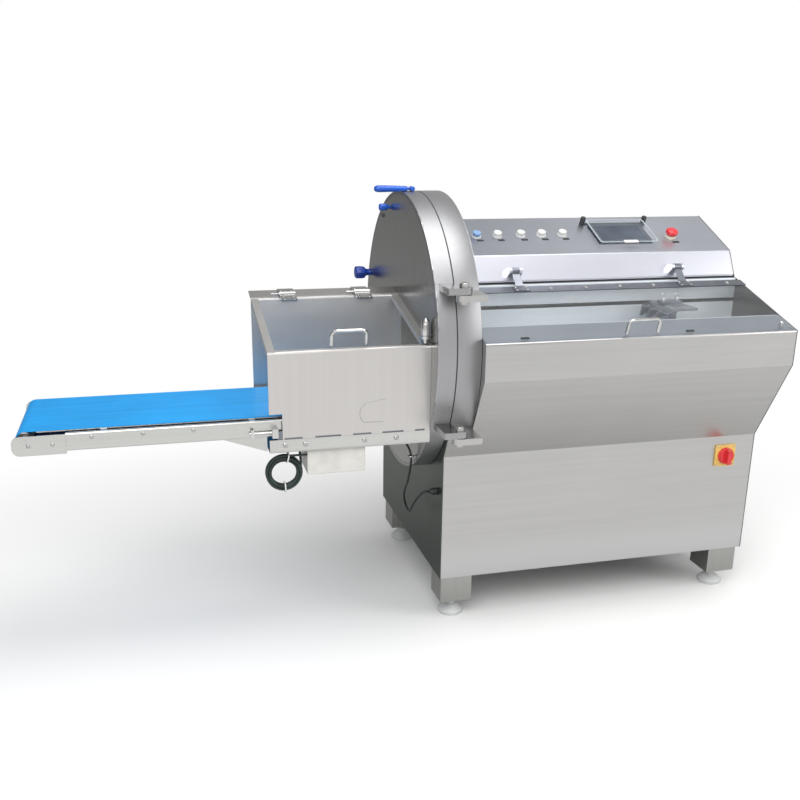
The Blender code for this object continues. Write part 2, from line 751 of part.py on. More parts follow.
def console_angle():
    face = Vector(CONSOLE_CREST) - Vector(CONSOLE_EDGE)
    return math.atan2(face.y, face.x)


def tilt_to_console(mesh, x, share, lift=0.0):
    """Moves what was built upright round the zero point onto the control face."""
    bmesh.ops.rotate(mesh, verts=mesh.verts, cent=(0, 0, 0), matrix=Matrix.Rotation(console_angle(), 3, "X"))
    place = console_point(share, lift)
    bmesh.ops.translate(mesh, verts=mesh.verts, vec=(x, place.x, place.y))


def rear_rim():
    """Where the console's rear flange ends on the line to the rear shoulder."""
    return towards(CONSOLE_CREST, REAR_SHOULDER, CONSOLE_REAR_FLANGE)


def add_cover_hinge_cheeks(mesh):
    """Pairs of cheeks on the console's front face, which hold the feed cover's pins."""
    face = (Vector(CONSOLE_EDGE) - Vector(CONSOLE_FOOT)).normalized()
    outward = Vector((-face.y, face.x))
    pin = Vector((COVER_PIN_Y, COVER_PIN_Z))
    along = (pin - Vector(CONSOLE_FOOT)).dot(face)
    spread = HINGE_BARREL_RADIUS + LEAF_THICKNESS
    seat = Vector(CONSOLE_FOOT) - outward * WELD_OVERLAP
    lean = math.degrees(math.atan2(outward.y, outward.x))
    outline = [tuple(seat + face * (along - spread))]
    outline += arc(tuple(pin), HINGE_BARREL_RADIUS, lean + 90, lean - 90, 8)
    outline.append(tuple(seat + face * (along + spread)))
    inner = HINGE_BARREL_WIDTH / 2 + SEAT_GAP
    for x in COVER_HINGE_XS:
        add_prism(mesh, outline, "X", x - HINGE_BLOCK_WIDTH, x - inner)
        add_prism(mesh, outline, "X", x + inner, x + HINGE_BLOCK_WIDTH)


def add_button_collars(mesh):
    """Rings on the control face, one for each button and a taller one for the stop button."""
    parts = [(x, BUTTON_SHARE, BUTTON_BEZEL_RADIUS, BUTTON_CAP_RADIUS, BUTTON_BEZEL_HEIGHT) for x in BUTTON_XS]
    parts.append((STOP_X, STOP_SHARE, STOP_COLLAR_RADIUS, STOP_STEM_RADIUS, STOP_COLLAR_HEIGHT))
    for x, share, outer, inner, height in parts:
        collar = bmesh.new()
        add_pipe(collar, "Z", (0, 0), outer, inner + RUN_GAP, -WELD_OVERLAP, height, 16)
        tilt_to_console(collar, x, share)
        join_mesh(mesh, collar)


def console_sheet():
    """The folded console, with the feed cover's hinge cheeks and the buttons' collars."""
    lip = (CONSOLE_FOOT[0] + CONSOLE_LIP, CONSOLE_FOOT[1])
    path = [lip, CONSOLE_FOOT, CONSOLE_EDGE, CONSOLE_CREST, tuple(rear_rim())]
    mesh = bmesh.new()
    add_prism(mesh, folded(path), "X", BEHIND_SHELL_X, INNER_RIGHT_X)
    console = make("console_sheet", mesh, STEEL, MACHINE, 30)
    mesh = bmesh.new()
    add_cover_hinge_cheeks(mesh)
    weld(console, mesh)
    mesh = bmesh.new()
    for x in COVER_HINGE_XS:
        ends = (x - HINGE_BLOCK_WIDTH + WELD_OVERLAP, x + HINGE_BLOCK_WIDTH - WELD_OVERLAP)
        add_rod(mesh, "X", (COVER_PIN_Y, COVER_PIN_Z), COVER_PIN_RADIUS, *ends)
    weld(console, mesh)
    mesh = bmesh.new()
    add_button_collars(mesh)
    weld(console, mesh)


def rear_cover():
    """The back of the cabinet, with rows of louvres."""
    start = towards(CONSOLE_CREST, REAR_SHOULDER, CONSOLE_REAR_FLANGE + SEAT_GAP)
    mesh = bmesh.new()
    add_prism(mesh, folded([tuple(start), REAR_SHOULDER, (CABINET_DEPTH, SKIRT_Z)]), "X", INNER_LEFT_X, INNER_RIGHT_X)
    cover = make("rear_cover", mesh, STEEL, MACHINE, 30)
    mesh = bmesh.new()
    top = CONSOLE_CREST[1] + OVERRUN
    add_box(mesh, (-OVERRUN, BEHIND_SHELL_X), (DRUM_Y, CABINET_DEPTH + OVERRUN), (SHOULDER_BEHIND_DOOR_Z, top))
    middle = CABINET_LENGTH / 2
    for column in (-1, 1):
        for row in range(LOUVRE_COUNT):
            x = middle + column * LOUVRE_LENGTH
            low = LOUVRE_Z + row * LOUVRE_PITCH
            ends = (x - LOUVRE_LENGTH / 2, x + LOUVRE_LENGTH / 2)
            add_box(mesh, ends, (CABINET_DEPTH - SHEET - OVERRUN, CABINET_DEPTH + OVERRUN), (low, low + LOUVRE_HEIGHT))
    cut(cover, mesh)


# Feed trough


def feed_bed():
    back = TROUGH_BACK_Y + SHEET
    under = TROUGH_FLOOR_Z - SHEET
    path = [
        (back, SLOT_BOTTOM_Z),
        (back, under),
        (BED_FRONT_Y, under),
        (BED_FRONT_Y, deck_z(BED_FRONT_Y) - SHEET),
    ]
    mesh = bmesh.new()
    add_prism(mesh, folded(path), "X", BEHIND_SHELL_X, INNER_RIGHT_X)
    make("feed_bed", mesh, STEEL, MACHINE, 30)


def trough_upper_wall():
    top = CONSOLE_FOOT[1] - SEAT_GAP
    path = [(TROUGH_BACK_Y, SLOT_TOP_Z), (TROUGH_BACK_Y, top), (TROUGH_BACK_Y + UPPER_WALL_FLANGE, top)]
    mesh = bmesh.new()
    add_prism(mesh, folded(path), "X", BEHIND_SHELL_X, INNER_RIGHT_X)
    make("trough_upper_wall", mesh, STEEL, MACHINE, 30)


# Blade housing


DRUM_CENTRE = (DRUM_Y, DRUM_Z)


def rim_y(z):
    """Front of the drum at a height."""
    return DRUM_Y - math.sqrt(DRUM_RADIUS**2 - (z - DRUM_Z) ** 2)


def lug_back(base):
    """How far back a lug reaches to be welded into the rim over its whole thickness."""
    return max(rim_y(base), rim_y(base + LUG_THICKNESS)) + WELD_OVERLAP


def pin_profile(base):
    """A hinge pin fixed in the lower lug, with a head at each end and a collar that parts the lugs."""
    collar = base + LUG_THICKNESS
    collar_top = collar + LUG_WASHER - SEAT_GAP
    top = collar + LUG_WASHER + LUG_THICKNESS + SEAT_GAP
    profile = [(0, base - PIN_HEAD), (PIN_HEAD_RADIUS, base - PIN_HEAD), (PIN_HEAD_RADIUS, collar_top)]
    profile += [(PIN_RADIUS, collar_top), (PIN_RADIUS, top), (PIN_HEAD_RADIUS, top)]
    return [*profile, (PIN_HEAD_RADIUS, top + PIN_HEAD), (0, top + PIN_HEAD)]


def fixed_blade_shell():
    """The fixed half of the drum: a pan with a feed window, a shaft hole and two hinge lugs."""
    mesh = bmesh.new()
    add_rod(mesh, "X", DRUM_CENTRE, DRUM_RADIUS, FIXED_SHELL_LEFT_X, SHELL_BACK_X, DRUM_FACETS)
    shell = make("fixed_blade_shell", mesh, STEEL, MACHINE, 30)
    mesh = bmesh.new()
    left = FIXED_SHELL_LEFT_X + SEAT_GAP
    nose = arc((PIN_X, PIN_Y), LUG_NOSE_RADIUS, 180, 270, 5)
    for base in (UPPER_LUG_Z, LOWER_LUG_Z):
        back = lug_back(base)
        tail = [(FIXED_LUG_RIGHT_X, PIN_Y - LUG_NOSE_RADIUS), (FIXED_LUG_RIGHT_X, back), (left, back)]
        tail.append((left, PIN_Y + LUG_NOSE_RADIUS))
        add_prism(mesh, nose + tail, "Z", base, base + LUG_THICKNESS)
    weld(shell, mesh)
    mesh = bmesh.new()
    pocket = FIXED_SHELL_LEFT_X - OVERRUN
    add_rod(mesh, "X", DRUM_CENTRE, DRUM_RADIUS - SHEET, pocket, SHELL_PLATE_X, DRUM_FACETS)
    cut(shell, mesh)
    mesh = bmesh.new()
    for base in (UPPER_LUG_Z, LOWER_LUG_Z):
        add_turned(mesh, "Z", (PIN_X, PIN_Y), pin_profile(base), 16)
    weld(shell, mesh)
    mesh = bmesh.new()
    through = (SHELL_PLATE_X - OVERRUN, SHELL_BACK_X + OVERRUN)
    add_rod(mesh, "X", DRUM_CENTRE, SHAFT_RADIUS + SHAFT_CLEARANCE, *through)
    window_front = BED_FRONT_Y + SHEET + FEED_WINDOW_MARGIN
    window_back = TROUGH_BACK_Y - FEED_WINDOW_MARGIN
    window_floor = TROUGH_FLOOR_Z + FEED_WINDOW_MARGIN
    add_box(mesh, through, (window_front, window_back), (window_floor, SLOT_TOP_Z - FEED_WINDOW_MARGIN))
    cut(shell, mesh)


def blade_door():
    """The swinging half of the drum: a pan with the slices' outlet and two lugs over the fixed ones."""
    mesh = bmesh.new()
    add_rod(mesh, "X", DRUM_CENTRE, DRUM_RADIUS, DOOR_FACE_X, DOOR_SPLIT_X, DRUM_FACETS)
    door = make("blade_door", mesh, STEEL, DOOR, 30)
    mesh = bmesh.new()
    right = DOOR_SPLIT_X - SEAT_GAP
    nose = arc((PIN_X, PIN_Y), LUG_NOSE_RADIUS, 270, 450, 10)
    for fixed in (UPPER_LUG_Z, LOWER_LUG_Z):
        base = fixed + LUG_THICKNESS + LUG_WASHER
        back = lug_back(base)
        tail = [(right, PIN_Y + LUG_NOSE_RADIUS), (right, back), (DOOR_LUG_LEFT_X, back)]
        tail.append((DOOR_LUG_LEFT_X, PIN_Y - LUG_NOSE_RADIUS))
        add_prism(mesh, nose + tail, "Z", base, base + LUG_THICKNESS)
    weld(door, mesh)
    mesh = bmesh.new()
    pocket = DOOR_FACE_X + SHEET
    add_rod(mesh, "X", DRUM_CENTRE, DRUM_RADIUS - SHEET, pocket, DOOR_SPLIT_X + OVERRUN, DRUM_FACETS)
    for base in (UPPER_LUG_Z, LOWER_LUG_Z):
        top = base + 2 * LUG_THICKNESS + 2 * LUG_WASHER
        add_rod(mesh, "Z", (PIN_X, PIN_Y), PIN_RADIUS + SEAT_GAP, base + LUG_THICKNESS, top)
    cut(door, mesh)
    mesh = bmesh.new()
    outlet = [(OUTLET_FRONT_Y, OUTLET_BOTTOM_Z), (OUTLET_BACK_Y, OUTLET_BOTTOM_Z)]
    outlet += [(y, guard_top_z(y) - OUTLET_TOP_DROP) for y in (OUTLET_BACK_Y, OUTLET_FRONT_Y)]
    add_prism(mesh, outlet, "X", DOOR_FACE_X - OVERRUN, DOOR_FACE_X + OVERRUN)
    cut(door, mesh)


# Blade and drive


BLADE_LEFT_X = SHELL_PLATE_X - BLADE_FEED_CLEARANCE - BLADE_THICKNESS
BLADE_SWEEP = 290
ROTOR = pivot("blade_axis", (BLADE_LEFT_X, DRUM_Y, DRUM_Z), MACHINE)
MOTOR_ROTOR = pivot("motor_axis", (PULLEY_X, MOTOR_Y, MOTOR_Z), MACHINE)


def sickle_outline(inset):
    """A spiral from the heel to the tip, closed by the hub; the edge is drawn in by the inset."""
    points = []
    for step in range(BLADE_STEPS + 1):
        share = step / BLADE_STEPS
        radius = BLADE_INNER_RADIUS + (BLADE_OUTER_RADIUS - BLADE_INNER_RADIUS) * share**0.8 - inset
        angle = math.radians(90 - BLADE_SWEEP * share)
        points.append((DRUM_Y + radius * math.cos(angle), DRUM_Z + radius * math.sin(angle)))
    return points


def blade():
    """A sickle with a bevelled edge, drilled for the shaft's register."""
    mesh = bmesh.new()
    faces = [(BLADE_LEFT_X, BLADE_BEVEL), (BLADE_LEFT_X + BLADE_THICKNESS, 0)]
    add_loft(mesh, [[on_axis("X", a, b, x) for a, b in sickle_outline(inset)] for x, inset in faces])
    knife = make("blade", mesh, BLADE_STEEL, ROTOR)
    mesh = bmesh.new()
    ends = (BLADE_LEFT_X - OVERRUN, BLADE_LEFT_X + BLADE_THICKNESS + OVERRUN)
    add_rod(mesh, "X", DRUM_CENTRE, BLADE_HOLE_RADIUS, *ends, SHAFT_FACETS)
    cut(knife, mesh)


def blade_shaft():
    flange = BLADE_LEFT_X - SEAT_GAP
    register = BLADE_HOLE_RADIUS - SEAT_GAP
    boss_end = BLADE_LEFT_X + BLADE_THICKNESS
    end = PULLEY_X + PULLEY_WIDTH + OVERRUN
    profile = [(0, flange - HUB_THICKNESS), (HUB_RADIUS, flange - HUB_THICKNESS), (HUB_RADIUS, flange)]
    profile += [(register, flange), (register, boss_end), (SHAFT_RADIUS, boss_end), (SHAFT_RADIUS, end), (0, end)]
    mesh = bmesh.new()
    add_turned(mesh, "X", DRUM_CENTRE, profile, SHAFT_FACETS)
    make("blade_shaft", mesh, BRIGHT_STEEL, ROTOR, 40)


def bearing_housing():
    bore = SHAFT_RADIUS + SEAT_GAP
    step = BEHIND_SHELL_X + BEARING_FLANGE
    end = BEHIND_SHELL_X + BEARING_LENGTH
    profile = [(BEARING_FLANGE_RADIUS, BEHIND_SHELL_X), (BEARING_FLANGE_RADIUS, step), (BEARING_RADIUS, step)]
    profile += [(BEARING_RADIUS, end), (bore, end), (bore, BEHIND_SHELL_X)]
    mesh = bmesh.new()
    add_ring(mesh, "X", DRUM_CENTRE, profile, SHAFT_FACETS)
    make("bearing_housing", mesh, DARK_STEEL, MACHINE, 40)


def driven_pulley():
    mesh = bmesh.new()
    add_pipe(mesh, "X", DRUM_CENTRE, PULLEY_RADIUS, SHAFT_RADIUS + SEAT_GAP, PULLEY_X, PULLEY_X + PULLEY_WIDTH, SHAFT_FACETS)
    make("driven_pulley", mesh, DARK_STEEL, ROTOR, 40)


def motor_pulley():
    end = PULLEY_X + PULLEY_WIDTH
    stub = MOTOR_X - SEAT_GAP
    profile = [(0, PULLEY_X), (MOTOR_PULLEY_RADIUS, PULLEY_X), (MOTOR_PULLEY_RADIUS, end)]
    profile += [(MOTOR_SHAFT_RADIUS, end), (MOTOR_SHAFT_RADIUS, stub), (0, stub)]
    mesh = bmesh.new()
    add_turned(mesh, "X", (MOTOR_Y, MOTOR_Z), profile, 40)
    make("motor_pulley", mesh, DARK_STEEL, MOTOR_ROTOR, 40)


def drive_belt():
    low = PULLEY_X + (PULLEY_WIDTH - BELT_WIDTH) / 2
    wheels = (DRUM_CENTRE, PULLEY_RADIUS + SEAT_GAP, (MOTOR_Y, MOTOR_Z), MOTOR_PULLEY_RADIUS + SEAT_GAP)
    mesh = bmesh.new()
    add_belt(mesh, "X", *wheels, BELT_THICKNESS, low, low + BELT_WIDTH)
    make("drive_belt", mesh, BLACK_RUBBER, MACHINE, 40)


def drive_motor():
    """A finned motor on two feet that stand on the frame's cross bars."""
    outline = []
    for fin in range(MOTOR_FIN_COUNT):
        for share, radius in ((0, MOTOR_RADIUS), (0.4, MOTOR_RADIUS), (0.5, MOTOR_RADIUS - MOTOR_FIN_DEPTH)):
            angle = 2 * math.pi * (fin + share) / MOTOR_FIN_COUNT
            outline.append((MOTOR_Y + radius * math.cos(angle), MOTOR_Z + radius * math.sin(angle)))
        angle = 2 * math.pi * (fin + 0.9) / MOTOR_FIN_COUNT
        inner = MOTOR_RADIUS - MOTOR_FIN_DEPTH
        outline.append((MOTOR_Y + inner * math.cos(angle), MOTOR_Z + inner * math.sin(angle)))
    mesh = bmesh.new()
    add_prism(mesh, outline, "X", MOTOR_X, MOTOR_X + MOTOR_LENGTH)
    motor = make("drive_motor", mesh, MOTOR_PAINT, MACHINE)
    mesh = bmesh.new()
    base = SKIRT_Z + TUBE + SEAT_GAP
    for share in MOTOR_FOOT_SHARES:
        x = MOTOR_X + share * MOTOR_LENGTH
        width = (MOTOR_Y - MOTOR_RADIUS, MOTOR_Y + MOTOR_RADIUS)
        add_box(mesh, (x - MOTOR_FOOT / 2, x + MOTOR_FOOT / 2), width, (base, MOTOR_Z - MOTOR_RADIUS / 2))
    weld(motor, mesh)


# Feed drive


GEARMOTOR_LEFT_X = INNER_RIGHT_X - GEARMOTOR_LENGTH
SLOT_MIDDLE_Z = (SLOT_BOTTOM_Z + SLOT_TOP_Z) / 2
CARRIAGE_MIDDLE_X = CARRIAGE_X + CARRIAGE_WIDTH / 2
CLAW_PIVOT_X = CARRIAGE_X - CLAW_ROD_RADIUS * 2
CLAW_PIVOT_Z = CARRIAGE_TOP_Z - CLAW_ROD_RADIUS * 4
CARRIAGE_BACK_Y = TROUGH_BACK_Y - RUN_GAP
SCREW = pivot("feed_screw_axis", (BEHIND_SHELL_X, RAIL_Y, SCREW_Z), MACHINE)
SLED = pivot("carriage_datum", (CARRIAGE_X, RAIL_Y, RAIL_Z), MACHINE)
CLAWS = pivot("claw_axis", (CLAW_PIVOT_X, CARRIAGE_FRONT_Y, CLAW_PIVOT_Z), SLED)


def guide_rail():
    mesh = bmesh.new()
    add_rod(mesh, "X", (RAIL_Y, RAIL_Z), RAIL_RADIUS, BEHIND_SHELL_X, INNER_RIGHT_X)
    make("guide_rail", mesh, BRIGHT_STEEL, MACHINE, 40)


def feed_screw():
    mesh = bmesh.new()
    add_rod(mesh, "X", (RAIL_Y, SCREW_Z), SCREW_RADIUS, BEHIND_SHELL_X, GEARMOTOR_LEFT_X - SEAT_GAP)
    make("feed_screw", mesh, BRIGHT_STEEL, SCREW, 40)


def feed_gearmotor():
    mesh = bmesh.new()
    ys = (RAIL_Y - GEARMOTOR_DEPTH / 4, RAIL_Y + GEARMOTOR_DEPTH * 3 / 4)
    zs = (SCREW_Z - GEARMOTOR_HEIGHT / 2, SCREW_Z + GEARMOTOR_HEIGHT / 2)
    add_box(mesh, (GEARMOTOR_LEFT_X, INNER_RIGHT_X), ys, zs)
    bmesh.ops.bevel(mesh, geom=mesh.edges, offset=BEND_RADIUS, segments=2, affect="EDGES", profile=0.5)
    make("feed_gearmotor", mesh, MOTOR_PAINT, MACHINE, 40)


def carriage():
    """A pusher plate under a top plate, with an arm through the slot to a block on the rail and the screw."""
    right = CARRIAGE_X + CARRIAGE_WIDTH
    floor = TROUGH_FLOOR_Z + PUSHER_FLOOR_CLEARANCE
    arm_low = SLOT_MIDDLE_Z - ARM_THICKNESS / 2
    arm_high = SLOT_MIDDLE_Z + ARM_THICKNESS / 2
    path = [(CARRIAGE_X, floor), (CARRIAGE_X, CARRIAGE_TOP_Z), (right, CARRIAGE_TOP_Z)]
    mesh = bmesh.new()
    add_prism(mesh, folded(path, ARM_THICKNESS, PUSHER_THICKNESS), "Y", CARRIAGE_FRONT_Y, CARRIAGE_BACK_Y)
    sled = make("carriage", mesh, BRIGHT_STEEL, SLED, 30)
    block = (CARRIAGE_MIDDLE_X - NUT_WIDTH / 2, CARRIAGE_MIDDLE_X + NUT_WIDTH / 2)
    mesh = bmesh.new()
    add_box(mesh, block, (CARRIAGE_BACK_Y - OVERRUN, RAIL_Y - NUT_DEPTH / 4), (arm_low, arm_high))
    weld(sled, mesh)
    middle = (RAIL_Z + SCREW_Z) / 2
    mesh = bmesh.new()
    ys = (RAIL_Y - NUT_DEPTH / 2, RAIL_Y + NUT_DEPTH / 2)
    add_box(mesh, block, ys, (middle - NUT_HEIGHT / 2, middle + NUT_HEIGHT / 2))
    weld(sled, mesh)
    mesh = bmesh.new()
    for z, radius in ((RAIL_Z, RAIL_RADIUS), (SCREW_Z, SCREW_RADIUS)):
        add_rod(mesh, "X", (RAIL_Y, z), radius + SEAT_GAP, block[0] - OVERRUN, block[1] + OVERRUN)
    cut(sled, mesh)
    mesh = bmesh.new()
    for y in (CARRIAGE_FRONT_Y, CARRIAGE_BACK_Y - CLAW_THICKNESS):
        nose = arc((CLAW_PIVOT_X, CLAW_PIVOT_Z), CLAW_ROD_RADIUS * 2, 90, 270, 6)
        root = CARRIAGE_X + WELD_OVERLAP
        ear = [*nose, (root, CLAW_PIVOT_Z - CLAW_ROD_RADIUS * 2), (root, CLAW_PIVOT_Z + CLAW_ROD_RADIUS * 2)]
        add_prism(mesh, ear, "Y", y, y + CLAW_THICKNESS)
    weld(sled, mesh)
    mesh = bmesh.new()
    ends = (CARRIAGE_FRONT_Y + CLAW_THICKNESS / 2, CARRIAGE_BACK_Y - CLAW_THICKNESS / 2)
    add_rod(mesh, "Y", (CLAW_PIVOT_X, CLAW_PIVOT_Z), CLAW_ROD_RADIUS + SEAT_GAP, *ends)
    cut(sled, mesh)


def gripper_claws():
    """Hooked claws on one rod, which lift clear of the block at the end of a stroke."""
    clear = CLAW_THICKNESS / 2 + SEAT_GAP
    ends = (CARRIAGE_FRONT_Y + clear, CARRIAGE_BACK_Y - clear)
    mesh = bmesh.new()
    add_rod(mesh, "Y", (CLAW_PIVOT_X, CLAW_PIVOT_Z), CLAW_ROD_RADIUS, *ends)
    claws = make("gripper_claws", mesh, BRIGHT_STEEL, CLAWS, 40)
    tip = CLAW_PIVOT_X - CLAW_LENGTH
    low = CLAW_PIVOT_Z - CLAW_HEIGHT / 2
    hub = CLAW_ROD_RADIUS * 1.6
    outline = [(tip, low), (tip + CLAW_THICKNESS, low), (CLAW_PIVOT_X - CLAW_THICKNESS, CLAW_PIVOT_Z - hub)]
    outline += arc((CLAW_PIVOT_X, CLAW_PIVOT_Z), hub, -60, 100, 5)
    outline += [(tip + CLAW_THICKNESS, CLAW_PIVOT_Z + CLAW_THICKNESS / 2)]
    middle = (ends[0] + ends[1]) / 2
    mesh = bmesh.new()
    for index in range(CLAW_COUNT):
        y = middle + (index - (CLAW_COUNT - 1) / 2) * CLAW_PITCH
        add_prism(mesh, outline, "Y", y - CLAW_THICKNESS / 2, y + CLAW_THICKNESS / 2)
    weld(claws, mesh)


# Feed cover


COVER_LEFT_X = BEHIND_SHELL_X + COVER_MARGIN_X
COVER_RIGHT_X = INNER_RIGHT_X - COVER_MARGIN_X
COVER = pivot("feed_cover_axis", (COVER_LEFT_X, COVER_PIN_Y, COVER_PIN_Z), MACHINE)


def on_deck(y, lift):
    """A point above the deck plane, measured square to it."""
    return (y - lift * math.sin(DECK_ANGLE), deck_z(y) + lift * math.cos(DECK_ANGLE))


def feed_cover():
    low, high = SEAT_GAP, SEAT_GAP + COVER_THICKNESS
    corners = [(COVER_FRONT_Y, low), (COVER_BACK_Y, low), (COVER_BACK_Y, high), (COVER_FRONT_Y, high)]
    mesh = bmesh.new()
    add_prism(mesh, [on_deck(y, lift) for y, lift in corners], "X", COVER_LEFT_X, COVER_RIGHT_X)
    make("feed_cover", mesh, CLEAR, COVER)


def add_handle(mesh, x, base, lean):
    """A bent rod handle with two feet, standing square to a sloping sheet."""
    up = Vector((0, -math.sin(lean), math.cos(lean))) * HANDLE_HEIGHT
    feet = [Vector((x + side * HANDLE_LENGTH / 2, *base)) for side in (-1, 1)]
    path = [feet[0], feet[0] + up, feet[1] + up, feet[1]]
    add_swept(mesh, rounded_chain(path, HANDLE_BEND), HANDLE_ROD_RADIUS)


def feed_cover_fittings():
    """The steel strip with its two hinge leaves."""
    top = COVER_THICKNESS + 2 * SEAT_GAP
    strip = [
        on_deck(STRIP_FRONT_Y, top),
        on_deck(STRIP_BACK_Y, top),
        on_deck(STRIP_BACK_Y, top + STRIP_THICKNESS),
        on_deck(STRIP_FRONT_Y, top + STRIP_THICKNESS),
    ]
    mesh = bmesh.new()
    add_prism(mesh, strip, "X", COVER_LEFT_X, COVER_RIGHT_X)
    fittings = make("feed_cover_fittings", mesh, BRIGHT_STEEL, COVER, 40)
    upper = top + STRIP_THICKNESS - WELD_OVERLAP
    path = [
        (COVER_PIN_Y, COVER_PIN_Z),
        on_deck(STRIP_BACK_Y, upper + LEAF_THICKNESS),
        on_deck(STRIP_FRONT_Y + LEAF_THICKNESS, upper + LEAF_THICKNESS),
    ]
    mesh = bmesh.new()
    for x in COVER_HINGE_XS:
        half = HINGE_BARREL_WIDTH / 2
        add_prism(mesh, folded(path[::-1], LEAF_THICKNESS), "X", x - half, x + half)
    weld(fittings, mesh)
    mesh = bmesh.new()
    plate = [on_deck(STRIP_FRONT_Y + LEAF_THICKNESS, upper), on_deck(STRIP_BACK_Y - LEAF_THICKNESS, upper)]
    plate += [on_deck(STRIP_BACK_Y - LEAF_THICKNESS, upper + STRIP_THICKNESS)]
    plate += [on_deck(STRIP_FRONT_Y + LEAF_THICKNESS, upper + STRIP_THICKNESS)]
    for x in COVER_HINGE_XS:
        add_prism(mesh, plate, "X", x - LEAF_WIDTH / 2, x + LEAF_WIDTH / 2)
    weld(fittings, mesh)
    mesh = bmesh.new()
    for x in COVER_HINGE_XS:
        half = HINGE_BARREL_WIDTH / 2
        add_rod(mesh, "X", (COVER_PIN_Y, COVER_PIN_Z), HINGE_BARREL_RADIUS, x - half, x + half)
    weld(fittings, mesh)
    mesh = bmesh.new()
    for x in COVER_HINGE_XS:
        half = HINGE_BARREL_WIDTH / 2 + OVERRUN
        add_rod(mesh, "X", (COVER_PIN_Y, COVER_PIN_Z), COVER_PIN_RADIUS + SEAT_GAP, x - half, x + half)
    cut(fittings, mesh)


def feed_cover_handle():
    mesh = bmesh.new()
    base = on_deck(COVER_HANDLE_Y, COVER_THICKNESS + 2 * SEAT_GAP)
    add_handle(mesh, COVER_HANDLE_X, base, DECK_ANGLE)
    make("feed_cover_handle", mesh, BRIGHT_STEEL, COVER, 40)


# Controls


def button_axis(name, x, share):
    place = console_point(share)
    return pivot(name, (x, place.x, place.y), MACHINE)


def push_buttons():
    for index, x in enumerate(BUTTON_XS):
        base = BUTTON_TRAVEL + SEAT_GAP
        top = base + BUTTON_CAP_HEIGHT
        rim = BUTTON_CAP_RADIUS * 0.85
        profile = [(0, base), (BUTTON_CAP_RADIUS, base), (BUTTON_CAP_RADIUS, top - BUTTON_CAP_RADIUS + rim)]
        profile += [(rim, top), (0, top)]
        mesh = bmesh.new()
        add_turned(mesh, "Z", (0, 0), profile, 16)
        tilt_to_console(mesh, x, BUTTON_SHARE)
        colour = BLUE_PLASTIC if index == 0 else WHITE_PLASTIC
        name = f"push_button_{index + 1}"
        make(name, mesh, colour, button_axis(f"{name}_axis", x, BUTTON_SHARE), 40)


def stop_button():
    """A mushroom head on a stem, with room to travel above its collar."""
    base = STOP_COLLAR_HEIGHT + STOP_TRAVEL + SEAT_GAP
    top = base + STOP_HEAD_HEIGHT
    shoulder = base + STOP_HEAD_HEIGHT / 2
    foot = STOP_TRAVEL + SEAT_GAP
    profile = [(0, foot), (STOP_STEM_RADIUS, foot), (STOP_STEM_RADIUS, base), (STOP_HEAD_RADIUS * 0.9, base)]
    profile += [(STOP_HEAD_RADIUS, shoulder), (STOP_HEAD_RADIUS * 0.8, top - STOP_TRAVEL / 2)]
    profile += [(STOP_HEAD_RADIUS * 0.45, top), (0, top)]
    mesh = bmesh.new()
    add_turned(mesh, "Z", (0, 0), profile)
    tilt_to_console(mesh, STOP_X, STOP_SHARE)
    make("stop_button", mesh, RED_PLASTIC, button_axis("stop_button_axis", STOP_X, STOP_SHARE), 40)


SCREEN_HINGE = SCREEN_DEPTH / 2 - SCREEN_POST_INSET
SCREEN_HINGE_LIFT = SCREEN_COVER_GAP + SCREEN_COVER_THICKNESS / 2
SCREEN_PIN_RADIUS = SCREEN_POST_RADIUS / 2


def screen_panel():
    """A touch screen in a frame, with two round posts that hold its cover's pins."""
    mesh = bmesh.new()
    half = (SCREEN_WIDTH / 2 - SCREEN_POST_INSET, SCREEN_DEPTH / 2 - 2 * SCREEN_POST_INSET)
    add_box(mesh, (-half[0], half[0]), (-half[1], half[1]), (SEAT_GAP, SCREEN_RISE))
    bmesh.ops.bevel(mesh, geom=mesh.edges, offset=SCREEN_RISE / 4, segments=2, affect="EDGES", profile=0.5)
    tilt_to_console(mesh, SCREEN_MIDDLE_X, SCREEN_SHARE)
    panel = make("screen_panel", mesh, SCREEN_GLASS, MACHINE, 40)
    mesh = bmesh.new()
    reach = SCREEN_WIDTH / 2 + SCREEN_COVER_MARGIN
    near, far = SCREEN_HINGE - SCREEN_POST_RADIUS / 2, SCREEN_HINGE + SCREEN_POST_RADIUS / 2
    neck, root = half[0] / 2, half[1] - SCREEN_RISE
    plate = [(-reach, near), (-neck, near), (-neck, root), (neck, root), (neck, near)]
    plate += [(reach, near), (reach, far), (-reach, far)]
    add_prism(mesh, plate, "Z", 2 * SEAT_GAP, SCREEN_RISE / 2)
    tilt_to_console(mesh, SCREEN_MIDDLE_X, SCREEN_SHARE)
    weld(panel, mesh)
    mesh = bmesh.new()
    for side in (-1, 1):
        add_rod(mesh, "Z", (side * reach, SCREEN_HINGE), SCREEN_POST_RADIUS, SEAT_GAP, SCREEN_POST_HEIGHT)
    tilt_to_console(mesh, SCREEN_MIDDLE_X, SCREEN_SHARE)
    weld(panel, mesh)
    mesh = bmesh.new()
    reach = SCREEN_WIDTH / 2 + SCREEN_COVER_MARGIN + SEAT_GAP
    add_rod(mesh, "X", (SCREEN_HINGE, SCREEN_HINGE_LIFT), SCREEN_PIN_RADIUS + SEAT_GAP, -reach, reach)
    tilt_to_console(mesh, SCREEN_MIDDLE_X, SCREEN_SHARE)
    cut(panel, mesh)


